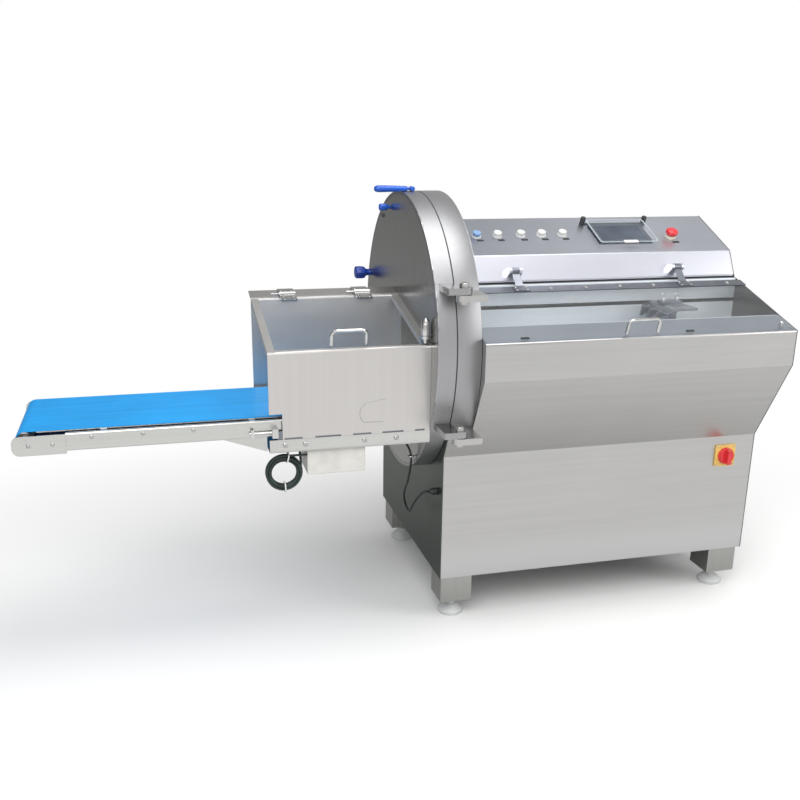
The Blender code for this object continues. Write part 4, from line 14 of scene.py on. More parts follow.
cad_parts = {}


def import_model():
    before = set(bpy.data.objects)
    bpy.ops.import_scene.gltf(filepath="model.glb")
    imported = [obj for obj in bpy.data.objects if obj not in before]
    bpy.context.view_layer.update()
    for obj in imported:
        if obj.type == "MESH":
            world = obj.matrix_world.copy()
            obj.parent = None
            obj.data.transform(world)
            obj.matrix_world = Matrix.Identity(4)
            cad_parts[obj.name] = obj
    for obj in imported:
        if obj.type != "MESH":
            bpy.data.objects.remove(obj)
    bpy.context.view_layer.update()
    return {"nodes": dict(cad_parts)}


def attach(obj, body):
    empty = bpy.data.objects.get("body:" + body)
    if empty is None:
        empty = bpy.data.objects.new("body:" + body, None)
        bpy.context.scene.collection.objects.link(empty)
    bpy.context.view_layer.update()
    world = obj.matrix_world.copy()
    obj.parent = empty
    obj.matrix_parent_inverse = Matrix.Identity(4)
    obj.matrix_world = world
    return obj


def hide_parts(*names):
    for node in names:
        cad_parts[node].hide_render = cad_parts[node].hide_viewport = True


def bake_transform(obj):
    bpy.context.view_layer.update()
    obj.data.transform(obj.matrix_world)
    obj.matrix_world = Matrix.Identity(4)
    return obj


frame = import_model()

# Where the machine's own zero point lies in the row frame
MACHINE_ZERO = np.array((0.0645, -0.29975, 0.0))

# Camera
CAMERA_PLACE = (-0.8086, -2.4863, 1.4430)
CAMERA_YAW = math.radians(14.374)
CAMERA_PITCH = math.radians(17.359)
CAMERA_ROLL = math.radians(0.495)
CAMERA_LENS = 42.0
CAMERA_SHIFT = (0.0163, 0.0368)

# The machine's sloping faces: each rises to the back from its lower front edge, given as (y, z)
DECK_ANGLE = math.radians(18.12)
DECK_EDGE = (-0.135, 0.906)
CONSOLE_ANGLE = math.radians(25.08)
CONSOLE_EDGE = (0.249, 1.0989)
CONSOLE_RUN, CONSOLE_RISE = 0.203, 0.095
GUARD_ANGLE = math.radians(13.03)
GUARD_EDGE = (-0.0446, 0.891)

ALONG = np.array((1.0, 0.0, 0.0))
LEFTWARD = np.array((-1.0, 0.0, 0.0))
FRONT = np.array((0.0, -1.0, 0.0))
BACK = np.array((0.0, 1.0, 0.0))
UPWARD = np.array((0.0, 0.0, 1.0))


def to_row(points):
    return np.asarray(points, dtype=float) + MACHINE_ZERO


def put_camera():
    yaw, pitch, roll = CAMERA_YAW, CAMERA_PITCH, CAMERA_ROLL
    ahead = Vector((math.sin(yaw) * math.cos(pitch), math.cos(yaw) * math.cos(pitch), -math.sin(pitch)))
    level = Vector((math.cos(yaw), -math.sin(yaw), 0))
    above = level.cross(ahead)
    right = level * math.cos(roll) + above * math.sin(roll)
    up = right.cross(ahead)
    camera = bpy.data.objects.new("camera", bpy.data.cameras.new("camera"))
    bpy.context.scene.collection.objects.link(camera)
    turn = Matrix((right, up, -ahead)).transposed().to_4x4()
    camera.matrix_world = Matrix.Translation(Vector(to_row(CAMERA_PLACE))) @ turn
    camera.data.lens = CAMERA_LENS
    camera.data.shift_x, camera.data.shift_y = CAMERA_SHIFT
    bpy.context.scene.camera = camera


put_camera()


# Shapes


def unit(vector):
    vector = np.asarray(vector, dtype=float)
    return vector / np.linalg.norm(vector)


def unit_rows(vectors):
    return vectors / np.linalg.norm(vectors, axis=1)[:, None]


def across(axis):
    """Two unit vectors square to an axis and to each other."""
    helper = (0.0, 0.0, 1.0) if abs(axis[2]) < 0.9 else (1.0, 0.0, 0.0)
    first = unit(np.cross(helper, axis))
    return first, np.cross(axis, first)


def turned(centre, axis, radii, heights, steps=24):
    """Grid of points: centre + axis * height + radius * (first * cos turn + second * sin turn).

    radii has one row for each height, and may vary round the turn.
    """
    axis = unit(axis)
    first, second = across(axis)
    turn = np.linspace(0, 2 * math.pi, steps, endpoint=False)
    spokes = np.cos(turn)[:, None] * first + np.sin(turn)[:, None] * second
    radii = np.broadcast_to(np.reshape(radii, (len(heights), -1)), (len(heights), steps))
    return np.asarray(centre) + np.asarray(heights)[:, None, None] * axis + radii[..., None] * spokes


def lathe(centre, axis, profile, steps=24):
    """The grid of a profile of (radius, height) points turned round an axis."""
    radii, heights = np.array(profile).T
    return turned(centre, axis, radii, heights, steps)


def hexagon(across_flats, steps):
    """Radius of a hexagon round the turn: half its width over the cosine of the angle from the nearest flat."""
    turn = np.linspace(0, 2 * math.pi, steps, endpoint=False)
    return across_flats / 2 / np.cos((turn + math.pi / 6) % (math.pi / 3) - math.pi / 6)


def frames_along(points):
    """A side and an up vector at each point of a path, turned as little as possible from one to the next."""
    ways = unit_rows(np.gradient(points, axis=0))
    side = across(ways[0])[0]
    sides = []
    for way in ways:
        side = unit(side - way * side.dot(way))
        sides.append(side)
    sides = np.array(sides)
    return sides, np.cross(ways, sides)


def swept(points, radius, steps=12):
    """Grid of points: path point + radius * (side * cos turn + up * sin turn)."""
    points = np.asarray(points, dtype=float)
    sides, ups = frames_along(points)
    turn = np.linspace(0, 2 * math.pi, steps, endpoint=False)
    radius = np.broadcast_to(radius, len(points))[:, None, None]
    ring = np.cos(turn)[None, :, None] * sides[:, None] + np.sin(turn)[None, :, None] * ups[:, None]
    return points[:, None] + radius * ring


def grid_faces(rows, columns, first):
    """Quads of a grid that closes round its columns, and one face over each end row."""
    row, column = np.meshgrid(np.arange(rows - 1), np.arange(columns), indexing="ij")
    here = first + row * columns + column
    beside = first + row * columns + (column + 1) % columns
    quads = np.stack([here, beside, beside + columns, here + columns], axis=-1).reshape(-1, 4).tolist()
    end = first + (rows - 1) * columns
    return [*quads, list(range(first, first + columns))[::-1], list(range(end, end + columns))]


def piece(name, grids, material, body, sharp=40.0):
    """One object from closed grids in machine coordinates, with its place in its mesh."""
    points, faces = [], []
    for grid in grids:
        rows, columns = grid.shape[:2]
        faces += grid_faces(rows, columns, sum(len(part) for part in points))
        points.append(to_row(grid).reshape(-1, 3))
    mesh = bpy.data.meshes.new(name)
    mesh.from_pydata(np.concatenate(points).tolist(), [], faces)
    return dress(name, mesh, material, body, sharp)


def closed_loop(name, grid, material, body):
    """One object from a grid that closes round its rows as well as its columns."""
    rows, columns = grid.shape[:2]
    row, column = np.meshgrid(np.arange(rows), np.arange(columns), indexing="ij")
    below, beside = (row + 1) % rows, (column + 1) % columns
    here, under = row * columns, below * columns
    faces = np.stack([here + column, here + beside, under + beside, under + column], axis=-1).reshape(-1, 4).tolist()
    mesh = bpy.data.meshes.new(name)
    mesh.from_pydata(to_row(grid).reshape(-1, 3).tolist(), [], faces)
    return dress(name, mesh, material, body)


def ring_piece(name, centre, axis, section, material, body, steps=192):
    """A closed ring: the section's (radius, height) points turned once round the axis."""
    return closed_loop(name, lathe(centre, axis, section, steps), material, body)


def dress(name, mesh, material, body, sharp=40.0):
    """Turns the faces outwards, smooths them up to an angle, and gives the mesh its material, body and slot."""
    shape = bmesh.new()
    shape.from_mesh(mesh)
    bmesh.ops.remove_doubles(shape, verts=shape.verts, dist=1e-6)
    bmesh.ops.recalc_face_normals(shape, faces=shape.faces)
    shape.to_mesh(mesh)
    shape.free()
    mesh.polygons.foreach_set("use_smooth", np.ones(len(mesh.polygons), dtype=bool))
    mesh.set_sharp_from_angle(angle=math.radians(sharp))
    mesh.materials.append(material)
    made = bpy.data.objects.new(name, mesh)
    bpy.context.scene.collection.objects.link(made)
    if body:
        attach(made, body)
    return made


# Shader maths


class Value:
    """A number that varies over a surface. Each operation on it adds one Math node."""

    def __init__(self, shader, socket):
        self.shader, self.socket = shader, socket

    def math(self, operation, *terms):
        return self.shader.node("Math", {"operation": operation}, terms)

    def __add__(self, other):
        return self.math("ADD", self, other)

    def __sub__(self, other):
        return self.math("SUBTRACT", self, other)

    def __mul__(self, other):
        return self.math("MULTIPLY", self, other)

    def most(self, other):
        return self.math("MAXIMUM", self, other)

    def size(self):
        return self.math("ABSOLUTE", self)

    def wave(self):
        return self.math("SINE", self)

    def between(self, low, high):
        """0 at low and below, 1 at high and above, and smooth from one to the other."""
        terms = {"Value": self, "From Min": low, "From Max": high}
        return self.shader.node("MapRange", {"interpolation_type": "SMOOTHSTEP"}, terms)


class Shader:
    """One material. node() adds a node: its settings first, then the values or links of its sockets."""

    def __init__(self, name):
        self.material = bpy.data.materials.new(name)
        self.material.use_nodes = True
        self.nodes = self.material.node_tree.nodes
        self.links = self.material.node_tree.links
        self.surface = self.nodes["Principled BSDF"]

    def node(self, kind, settings, terms, output=0):
        node = self.nodes.new("ShaderNode" + kind)
        for name, setting in settings.items():
            setattr(node, name, setting)
        for key, term in terms.items() if isinstance(terms, dict) else enumerate(terms):
            self.give(node.inputs[key], term)
        return Value(self, node.outputs[output])

    def give(self, socket, term):
        if isinstance(term, Value):
            self.links.new(term.socket, socket)
        elif hasattr(term, "__len__") and len(term) == 3 and socket.type == "RGBA":
            socket.default_value = (*term, 1.0)
        else:
            socket.default_value = term

    def place(self, scale=(1, 1, 1), turn=(0, 0, 0), shift=(0, 0, 0), kind="POINT"):
        spot = self.node("TexCoord", {}, (), output="Object")
        terms = {"Vector": spot, "Scale": scale, "Rotation": turn, "Location": shift}
        return self.node("Mapping", {"vector_type": kind}, terms)

    def noise(self, place, scale=1.0, detail=2.0, rough=0.5):
        terms = {"Vector": place, "Scale": scale, "Detail": detail, "Roughness": rough}
        return self.node("TexNoise", {}, terms)

    def mix(self, factor, first, second):
        return self.node("Mix", {"data_type": "RGBA"}, {0: factor, 6: first, 7: second}, output=2)

    def bump(self, height, depth, strength=1.0):
        return self.node("Bump", {}, {"Height": height, "Distance": depth, "Strength": strength})

    def finish(self, **terms):
        """Gives the surface its sockets, named with _ for a space."""
        for name, term in terms.items():
            self.give(self.surface.inputs[name.replace("_", " ")], term)
        return self.material


# Where the screen panel's middle lies, in the row frame
SCREEN_MIDDLE = (0.7675, 0.0508, 1.1464)


# Materials


def brushed(name, colour, roughness, grain, wear=0.6, metallic=1.0, depth=0.00004, painted_light_and_shade=()):
    """Stainless sheet: lines and streaks along the grain, and handling marks.

    Each painted tone stands in for light or shade on the sheet: it has an axis of the row frame, where it starts and
    ends taking over along it, and its tone.
    """
    shader = Shader(name)
    long, fine, broad = 6.0, 900.0, 90.0
    lines = shader.noise(shader.place([long if axis == grain else fine for axis in "XYZ"]), detail=2)
    streaks = shader.noise(shader.place([1.6 if axis == grain else broad for axis in "XYZ"]), detail=3)
    marks = shader.noise(shader.place(), scale=3.2, detail=4, rough=0.6)
    tone = (lines * 0.35 + streaks * 0.4 + marks * 0.25).between(0.3, 0.7)
    low = [channel * (1 - 0.10 * wear) for channel in colour]
    high = [min(channel * (1 + 0.08 * wear), 1.0) for channel in colour]
    rough = (lines - 0.5) * 0.16 + (marks - 0.5) * (0.16 * wear) + roughness
    normal = shader.bump(lines * 0.7 + streaks * 0.3, depth, 0.5)
    tone = shader.mix(tone, low, high)
    # Painted light and shade: each tone takes over the sheet's own colour along its axis.
    for axis, start, end, beyond in painted_light_and_shade:
        past = shader.node("SeparateXYZ", {}, (shader.place(),), output=axis).between(start, end)
        tone = shader.mix(past, tone, beyond)
    return shader.finish(Base_Color=tone, Metallic=metallic, Roughness=rough, Normal=normal)


def polished(name, colour, roughness=0.22):
    """Turned or drawn bright metal with light rubbing."""
    shader = Shader(name)
    rub = shader.noise(shader.place(), scale=160.0, detail=3)
    marks = shader.noise(shader.place(), scale=24.0, detail=4)
    tone = shader.mix(marks.between(0.3, 0.75), colour, [channel * 0.86 for channel in colour])
    rough = (rub - 0.5) * 0.14 + (marks - 0.5) * 0.10 + roughness
    return shader.finish(Base_Color=tone, Metallic=1.0, Roughness=rough, Normal=shader.bump(rub, 0.00003, 0.4))


def ground_disc(name, colour, middle, roughness=0.24):
    """Ground steel: fine rings round the disc's axis, which runs along X, and a slow change between them."""
    shader = Shader(name)
    flat = shader.place(shift=middle, scale=(1e6, 1, 1), kind="TEXTURE")
    radius = shader.node("VectorMath", {"operation": "LENGTH"}, (flat,), output="Value")
    fine = shader.node("TexNoise", {"noise_dimensions": "1D"}, {"W": radius, "Scale": 900.0, "Detail": 3.0})
    slow = shader.node("TexNoise", {"noise_dimensions": "1D"}, {"W": radius, "Scale": 40.0, "Detail": 2.0})
    darker = [channel * 0.90 for channel in colour]
    tone = shader.mix((fine * 0.6 + slow * 0.4).between(0.3, 0.7), colour, darker)
    rough = (fine - 0.5) * 0.10 + roughness
    return shader.finish(Base_Color=tone, Metallic=1.0, Roughness=rough, Normal=shader.bump(fine, 0.00002, 0.4))


def cast(name, colour, roughness=0.55, metallic=0.6):
    shader = Shader(name)
    sand = shader.noise(shader.place(), scale=420.0, detail=4, rough=0.65)
    stain = shader.noise(shader.place(), scale=18.0, detail=5)
    tone = shader.mix(stain.between(0.35, 0.7), colour, [channel * 0.72 for channel in colour])
    normal = shader.bump(sand, 0.0003, 0.5)
    rough = (sand - 0.5) * 0.2 + roughness
    return shader.finish(Base_Color=tone, Metallic=metallic, Roughness=rough, Normal=normal)


def moulded(name, colour, roughness=0.32, grain=0.00006, coat=0.0):
    """Moulded plastic: fine surface grain and a slight change of tone."""
    shader = Shader(name)
    skin = shader.noise(shader.place(), scale=900.0, detail=2)
    flow = shader.noise(shader.place(), scale=26.0, detail=3)
    tone = shader.mix(flow.between(0.3, 0.7), colour, [channel * 0.88 for channel in colour])
    rough = (flow - 0.5) * 0.12 + roughness
    normal = shader.bump(skin, grain, 0.5)
    return shader.finish(Base_Color=tone, Roughness=rough, Coat_Weight=coat, Normal=normal)


def clear(name, tint, roughness=0.05, opacity=0.05, edge_opacity=0.35, shine=0.5):
    """Clear sheet: mostly see-through, denser where it is seen edge on, with light scratches."""
    shader = Shader(name)
    facing = shader.node("LayerWeight", {}, {"Blend": 0.35}, output="Facing")
    scratch = shader.noise(shader.place((30.0, 320.0, 120.0), turn=(0.2, 0.3, 0.5)), detail=3)
    smear = shader.noise(shader.place(), scale=7.0, detail=4)
    alpha = facing.between(0.60, 1.0) * (edge_opacity - opacity) + opacity + (smear - 0.5) * 0.06
    rough = smear.between(0.35, 0.8) * 0.10 + roughness
    normal = shader.bump(scratch, 0.00002, 0.3)
    return shader.finish(
        Base_Color=tint, Roughness=rough, Alpha=alpha, Normal=normal, IOR=1.49, Specular_IOR_Level=shine
    )


def belt_skin(name, colour):
    """Food belt: smooth coated cloth, with a faint weave showing through and dull scuffs along its run."""
    shader = Shader(name)
    weave_x = (shader.node("SeparateXYZ", {}, (shader.place(),), output=0) * 4200.0).wave()
    weave_y = (shader.node("SeparateXYZ", {}, (shader.place(),), output=1) * 4200.0).wave()
    scuff = shader.noise(shader.place((2.0, 55.0, 20.0)), detail=4)
    cloud = shader.noise(shader.place(), scale=5.0, detail=3)
    tone = shader.mix((scuff * 0.5 + cloud * 0.5).between(0.35, 0.68), colour, [c * 0.80 for c in colour])
    rough = (scuff - 0.5) * 0.2 + 0.36
    normal = shader.bump(weave_x * weave_y, 0.00006, 0.35)
    return shader.finish(Base_Color=tone, Roughness=rough, Normal=normal)


def cable_skin(name, colour):
    shader = Shader(name)
    skin = shader.noise(shader.place(), scale=700.0, detail=3)
    dust = shader.noise(shader.place(), scale=30.0, detail=4)
    tone = shader.mix(dust.between(0.4, 0.75), colour, [min(channel * 2.2 + 0.01, 1) for channel in colour])
    rough = dust * 0.25 + 0.34
    return shader.finish(Base_Color=tone, Roughness=rough, Normal=shader.bump(skin, 0.00008, 0.5))


def touch_screen(name):
    """Slate bezel round a dark blue picture area, both under one glass."""
    shader = Shader(name)
    place = shader.place(shift=SCREEN_MIDDLE, turn=(CONSOLE_ANGLE, 0, 0), kind="TEXTURE")
    x = shader.node("SeparateXYZ", {}, (place,), output=0).size()
    y = shader.node("SeparateXYZ", {}, (place,), output=1).size()
    half_width, half_depth, blur = 0.0800, 0.0440, 0.0005
    inside = x.between(half_width + blur, half_width - blur) * y.between(half_depth + blur, half_depth - blur)
    glow = shader.noise(shader.place(), scale=14.0, detail=3)
    picture = shader.mix(glow.between(0.35, 0.7), (0.012, 0.024, 0.048), (0.028, 0.048, 0.080))
    tone = shader.mix(inside, (0.055, 0.068, 0.085), picture)
    rough = inside * -0.22 + 0.34 + (glow - 0.5) * 0.06
    return shader.finish(Base_Color=tone, Roughness=rough, Specular_IOR_Level=0.2)


def lined_sheet(name, colour, inner, face):
    """Stainless sheet, upright grain, whose side towards the machine's middle is painted much darker, as shade."""
    shader = Shader(name)
    lines = shader.noise(shader.place((900.0, 900.0, 6.0)), detail=2)
    marks = shader.noise(shader.place(), scale=3.2, detail=4, rough=0.6)
    outside = shader.node("SeparateXYZ", {}, (shader.place(),), output=0).between(face, face + 0.001)
    shade = (lines * 0.5 + marks * 0.5 - 0.5) * 0.12
    # Painted shade: the inner tone covers the side towards the machine's middle.
    tone = shader.mix(outside + shade, inner, colour)
    rough = (lines - 0.5) * 0.16 + 0.34
    normal = shader.bump(lines, 0.00004, 0.5)
    return shader.finish(Base_Color=tone, Metallic=1.0, Roughness=rough, Normal=normal)


STEEL_TONE = (0.53, 0.525, 0.515)
sheet_x = brushed("brushed_sheet_lengthwise", STEEL_TONE, 0.34, "X")
# Painted shade and light on the front sheet: a darker, bluer tone over its deck face above the fold, and a lighter
# tone over its lowest part.
FRONT_PAINTED_LIGHT_AND_SHADE = [(2, 0.9068, 0.9078, (0.36, 0.395, 0.45)), (2, 0.30, 0.15, (0.64, 0.64, 0.645))]
deck_sheet = brushed("front_and_deck_sheet", STEEL_TONE, 0.34, "X", painted_light_and_shade=FRONT_PAINTED_LIGHT_AND_SHADE)
# Painted shade: the end panel's inner face, inside the feed trough, takes the near-black inner tone.
end_sheet = lined_sheet("right_end_sheet", (0.33, 0.325, 0.32), (0.085, 0.08, 0.07), 1.1155)
sheet_y = brushed("brushed_sheet_front_to_back", STEEL_TONE, 0.34, "Y")
shade_sheet = brushed("shaded_side_sheet", (0.09, 0.108, 0.094), 0.34, "Z")
trough_sheet = brushed("trough_sheet", (0.70, 0.745, 0.78), 0.50, "X", metallic=0.35)
# Painted shade: the trough wall turns near black towards the back, past the start of its flange, for the dark gap
# there.
WALL_PAINTED_SHADE = [(1, -0.1030, -0.1020, (0.05, 0.055, 0.06))]
wall_sheet = brushed("trough_wall_sheet", (0.70, 0.745, 0.78), 0.50, "X", metallic=0.35, painted_light_and_shade=WALL_PAINTED_SHADE)
guard_sheet = brushed("guard_sheet", (0.64, 0.62, 0.605), 0.38, "Z", wear=0.3)
drum_sheet = brushed("drum_face_sheet", (0.38, 0.38, 0.38), 0.24, "Z")
# Painted shade and light on the console: its top darker towards the left, and its front face, below the top edge,
# lighter.
CONSOLE_PAINTED_LIGHT_AND_SHADE = [(0, 0.85, 0.20, (0.40, 0.42, 0.465)), (2, 1.0990, 1.0980, (0.74, 0.75, 0.82))]
console_metal = brushed("console_sheet_metal", (0.58, 0.60, 0.655), 0.36, "X", painted_light_and_shade=CONSOLE_PAINTED_LIGHT_AND_SHADE)
rail_metal = brushed("conveyor_rail_metal", (0.62, 0.62, 0.60), 0.28, "X")
tube_metal = brushed("frame_tube_metal", (0.50, 0.50, 0.485), 0.40, "Z")
bright = polished("bright_fittings", (0.68, 0.68, 0.67), 0.22)
bolt_metal = polished("bolt_metal", (0.55, 0.55, 0.54), 0.30)
slate_strip = polished("slate_strip", (0.27, 0.285, 0.32), 0.34)
ground = ground_disc("ground_blade", (0.70, 0.705, 0.72), (0.0, 0.02225, 0.862))
iron = cast("dark_iron", (0.10, 0.105, 0.11))
paint = cast("motor_paint", (0.16, 0.18, 0.20), 0.45, 0.0)
rubber = cable_skin("black_rubber", (0.018, 0.020, 0.020))
cable_black = cable_skin("cable_sheath", (0.012, 0.022, 0.020))
blue = moulded("clamp_blue", (0.012, 0.115, 0.62), 0.26, coat=0.2)
deep_blue = moulded("knob_deep_blue", (0.010, 0.050, 0.36), 0.30, coat=0.2)
button_blue = moulded("button_blue", (0.24, 0.40, 0.68), 0.30, coat=0.3)
white = moulded("button_white", (0.80, 0.80, 0.77), 0.34, coat=0.2)
box_white = moulded("box_white", (0.78, 0.77, 0.73), 0.42)
red = moulded("stop_red", (0.80, 0.035, 0.045), 0.28, coat=0.3)
yellow = moulded("switch_yellow", (0.92, 0.62, 0.17), 0.40)
cream = moulded("collar_cream", (0.86, 0.80, 0.66), 0.42)
tie_white = moulded("tie_white", (0.84, 0.84, 0.82), 0.40)
pad_dark = moulded("pad_dark", (0.035, 0.037, 0.040), 0.55)
belt = belt_skin("belt_blue", (0.007, 0.41, 0.98))
cover_clear = clear("cover_clear", (0.80, 0.84, 0.86))
lid_clear = clear("lid_clear", (0.84, 0.85, 0.84), opacity=0.08)
small_clear = clear("screen_cover_clear", (0.82, 0.86, 0.90), opacity=0.04, edge_opacity=0.25, shine=0.2)
screen = touch_screen("touch_screen")
rim_sheet = brushed("drum_rim_sheet", (0.40, 0.40, 0.41), 0.44, "Z", wear=0.4)
slate_metal = brushed("slate_metal", (0.20, 0.22, 0.25), 0.36, "X")
rim_plastic = moulded("rim_plastic", (0.56, 0.62, 0.68), 0.25, coat=0.3)
collar_white = moulded("collar_white", (0.78, 0.79, 0.79), 0.30, coat=0.2)
foot_pale = moulded("foot_pale", (0.72, 0.74, 0.73), 0.40)

FINISHES = {
    sheet_x: ("rear_cover",),
    deck_sheet: ("front_sheet",),
    trough_sheet: ("feed_bed",),
    wall_sheet: ("trough_upper_wall",),
    end_sheet: ("right_end_panel",),
    console_metal: ("console_sheet",),
    sheet_y: ("fixed_blade_shell",),
    shade_sheet: ("left_side_panel",),
    drum_sheet: ("blade_door",),
    guard_sheet: ("guard_box",),
    rail_metal: ("guard_tray", "conveyor_frame", "conveyor_nose"),
    tube_metal: ("base_frame",),
    slate_strip: ("feed_cover_fittings", "carriage", "gripper_claws"),
    bright: (
        "feed_cover_handle",
        "guard_lid_hinge_left",
        "guard_lid_hinge_right",
        "guard_lid_leaf_left",
        "guard_lid_leaf_right",
        "guard_lid_handle",
        "lid_pull_pin",
        "guide_rail",
        "feed_screw",
        "latch_bracket",
        "latch_screw",
        "cable_clip",
        "drive_roller",
        "nose_roller",
        "blade_shaft",
    ),
    ground: ("blade",),
    iron: ("bearing_housing", "driven_pulley", "motor_pulley"),
    paint: ("drive_motor", "feed_gearmotor"),
    rubber: ("drive_belt", "cable_gland"),
    cover_clear: ("feed_cover",),
    lid_clear: ("guard_lid",),
    small_clear: ("screen_cover",),
    blue: ("top_clamp_lever", "small_clamp_knob"),
    deep_blue: ("rear_clamp_knob",),
    button_blue: ("push_button_1",),
    white: ("push_button_2", "push_button_3", "push_button_4", "push_button_5"),
    box_white: ("conveyor_control_box",),
    red: ("stop_button", "main_switch_knob"),
    yellow: ("main_switch_plate",),
    screen: ("screen_panel",),
    belt: ("conveyor_belt",),
    cable_black: ("cable_coil", "motor_cable"),
}


def finish_nodes():
    for material, names in FINISHES.items():
        for name in names:
            slots = frame["nodes"][name].material_slots
            for slot in slots:
                slot.material = material


finish_nodes()


# Cable


CABLE_DIAMETER = 0.0066
CABLE_ROUTE = (
    (-0.4243, -0.0039, 0.5472),
    (-0.4243, -0.0039, 0.5600),
    (-0.4240, 0.0100, 0.5850),
    (-0.4230, 0.0500, 0.5930),
    (-0.4180, 0.1000, 0.5930),
    (-0.3950, 0.1250, 0.5930),
    (-0.3300, 0.1350, 0.5900),
    (-0.2200, 0.1400, 0.5900),
    (-0.1200, 0.1480, 0.5900),
    (-0.0850, 0.1300, 0.5620),
    (-0.0680, 0.1050, 0.5170),
    (-0.0640, 0.1450, 0.4300),
    (-0.0480, 0.2450, 0.3520),
    (-0.0440, 0.2550, 0.3080),
    (-0.0520, 0.1700, 0.3080),
    (-0.0600, 0.0900, 0.3700),
    (-0.0420, 0.0550, 0.4150),
    (-0.0223, 0.0550, 0.4150),
)
COIL_CENTRE = (-0.474, -0.015, 0.540)
COIL_RADIUS = 0.0515
COIL_PITCH = 0.0074
COIL_LAYERS = 4
LOOPS_PER_LAYER = 2
COIL_LOOPS = 7.75
COIL_POINTS_PER_LOOP = 36
BOX_LEFT_X = -0.409


def coil_line():
    """Loops at angle 2 pi * turn, their radius going in and out by one pitch a loop.

    Each reversal climbs to the next layer, half of it in the share of a loop before it and half in that after it.
    """
    climb = 0.25
    turn = np.arange(int(COIL_LOOPS * COIL_POINTS_PER_LOOP) + 1) / COIL_POINTS_PER_LOOP
    layer = np.floor(turn / LOOPS_PER_LAYER)
    within = turn - layer * LOOPS_PER_LAYER
    inward = np.where(layer % 2 == 0, within, LOOPS_PER_LAYER - within)
    radius = COIL_RADIUS - inward * COIL_PITCH
    leaving = np.clip(within - LOOPS_PER_LAYER + climb, 0, None) / climb / 2 * (layer < COIL_LAYERS - 1)
    arriving = np.clip(climb - within, 0, None) / climb / 2 * (layer > 0)
    rise = layer + leaving - arriving
    angle = math.pi / 2 + 2 * math.pi * turn
    first = COIL_CENTRE[1] - (COIL_LAYERS - 1) / 2 * COIL_PITCH
    x = COIL_CENTRE[0] + radius * np.cos(angle)
    return np.stack([x, first + rise * COIL_PITCH, COIL_CENTRE[2] + radius * np.sin(angle)], axis=1)


def smooth_line(route, count):
    """Catmull-Rom curve through the route, at even steps of length."""
    route = np.array(route)
    chain = np.concatenate([[2 * route[0] - route[1]], route, [2 * route[-1] - route[-2]]])
    a, b, c, d = (chain[i : len(chain) - 3 + i, None] for i in range(4))
    t = np.arange(20)[None, :, None] / 20
    fine = (2 * b + (c - a) * t + (2 * a - 5 * b + 4 * c - d) * t**2 + (3 * b - a - 3 * c + d) * t**3) / 2
    fine = np.concatenate([fine.reshape(-1, 3), route[-1:]])
    return even_line(fine, count)


def even_line(fine, count):
    lengths = np.concatenate([[0], np.cumsum(np.linalg.norm(np.diff(fine, axis=0), axis=1))])
    even = np.linspace(0, lengths[-1], count)
    return np.stack([np.interp(even, lengths, fine[:, axis]) for axis in range(3)], axis=1)


def line_length(points):
    return float(np.linalg.norm(np.diff(points, axis=0), axis=1).sum())


def cable():
    """One cable from the gland, through the clip and along the tray, into its coil and on into the box."""
    coil = coil_line()
    start = np.array((BOX_LEFT_X - 0.0003, coil[0][1], coil[0][2]))
    lead = start + np.linspace(0, 1, 10)[:-1, None] * (coil[0] - start)
    run = smooth_line(CABLE_ROUTE, 190)
    path = np.concatenate([run[::-1], coil[::-1], lead[::-1]])
    grid = swept(path, CABLE_DIAMETER / 2, steps=14)
    made = piece("free_cable", [grid], cable_black, None, sharp=60)
    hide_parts("motor_cable", "cable_coil")
    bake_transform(made)
    print("cable length", round(line_length(path), 3))
    coil_ties()


def squared(wave):
    """Pushes a sine or cosine outwards, so a circle drawn with it turns into a rounded square."""
    return np.sign(wave) * np.abs(wave) ** 0.45


def coil_ties():
    """Two ties, each a flat band round the whole bundle of turns."""
    ties = []
    middle = COIL_RADIUS - COIL_PITCH * LOOPS_PER_LAYER / 2
    wide = COIL_PITCH * (LOOPS_PER_LAYER + 1) / 2 + 0.0010
    deep = COIL_PITCH * COIL_LAYERS / 2 + 0.0012
    for name, degrees in (("coil_tie_upper", 76), ("coil_tie_lower", -88)):
        spoke = np.array((math.cos(math.radians(degrees)), 0, math.sin(math.radians(degrees))))
        centre = np.array(COIL_CENTRE) + spoke * middle
        turn = np.linspace(0, 2 * math.pi, 40, endpoint=False)
        over, beside = squared(np.cos(turn))[:, None], squared(np.sin(turn))[:, None]
        ring = over * spoke * wide + beside * BACK * deep
        ties.append(band(name, centre + ring, np.array((-spoke[2], 0, spoke[0])), 0.0038, 0.0009))
    return ties


def band(name, ring, along, width, thickness):
    """A closed strap: the ring's points, moved half the width along and half the thickness outwards."""
    out = unit_rows(ring - ring.mean(axis=0))
    corners = [(-1, 0), (1, 0), (1, 1), (-1, 1)]
    loops = [ring + along * side * width / 2 + out * lift * thickness for side, lift in corners]
    return closed_loop(name, np.stack(loops, axis=1), tie_white, "door")


cable()


# Where things lie on the machine's sloping faces


def slope(angle):
    """The directions square to a face that rises to the back, and up along it."""
    return np.array((0, -math.sin(angle), math.cos(angle))), np.array((0, math.cos(angle), math.sin(angle)))


DECK_NORMAL, DECK_UP = slope(DECK_ANGLE)
CONSOLE_NORMAL, CONSOLE_UP = slope(CONSOLE_ANGLE)
GUARD_NORMAL, GUARD_UP = slope(GUARD_ANGLE)


def on_deck(x, y, lift=0.0):
    """A point at z = edge z + (y - edge y) * tan angle, then lifted square to the face."""
    return np.array((x, y, DECK_EDGE[1] + (y - DECK_EDGE[0]) * math.tan(DECK_ANGLE))) + DECK_NORMAL * lift


def on_guard(x, y, lift=0.0):
    return np.array((x, y, GUARD_EDGE[1] + (y - GUARD_EDGE[0]) * math.tan(GUARD_ANGLE))) + GUARD_NORMAL * lift


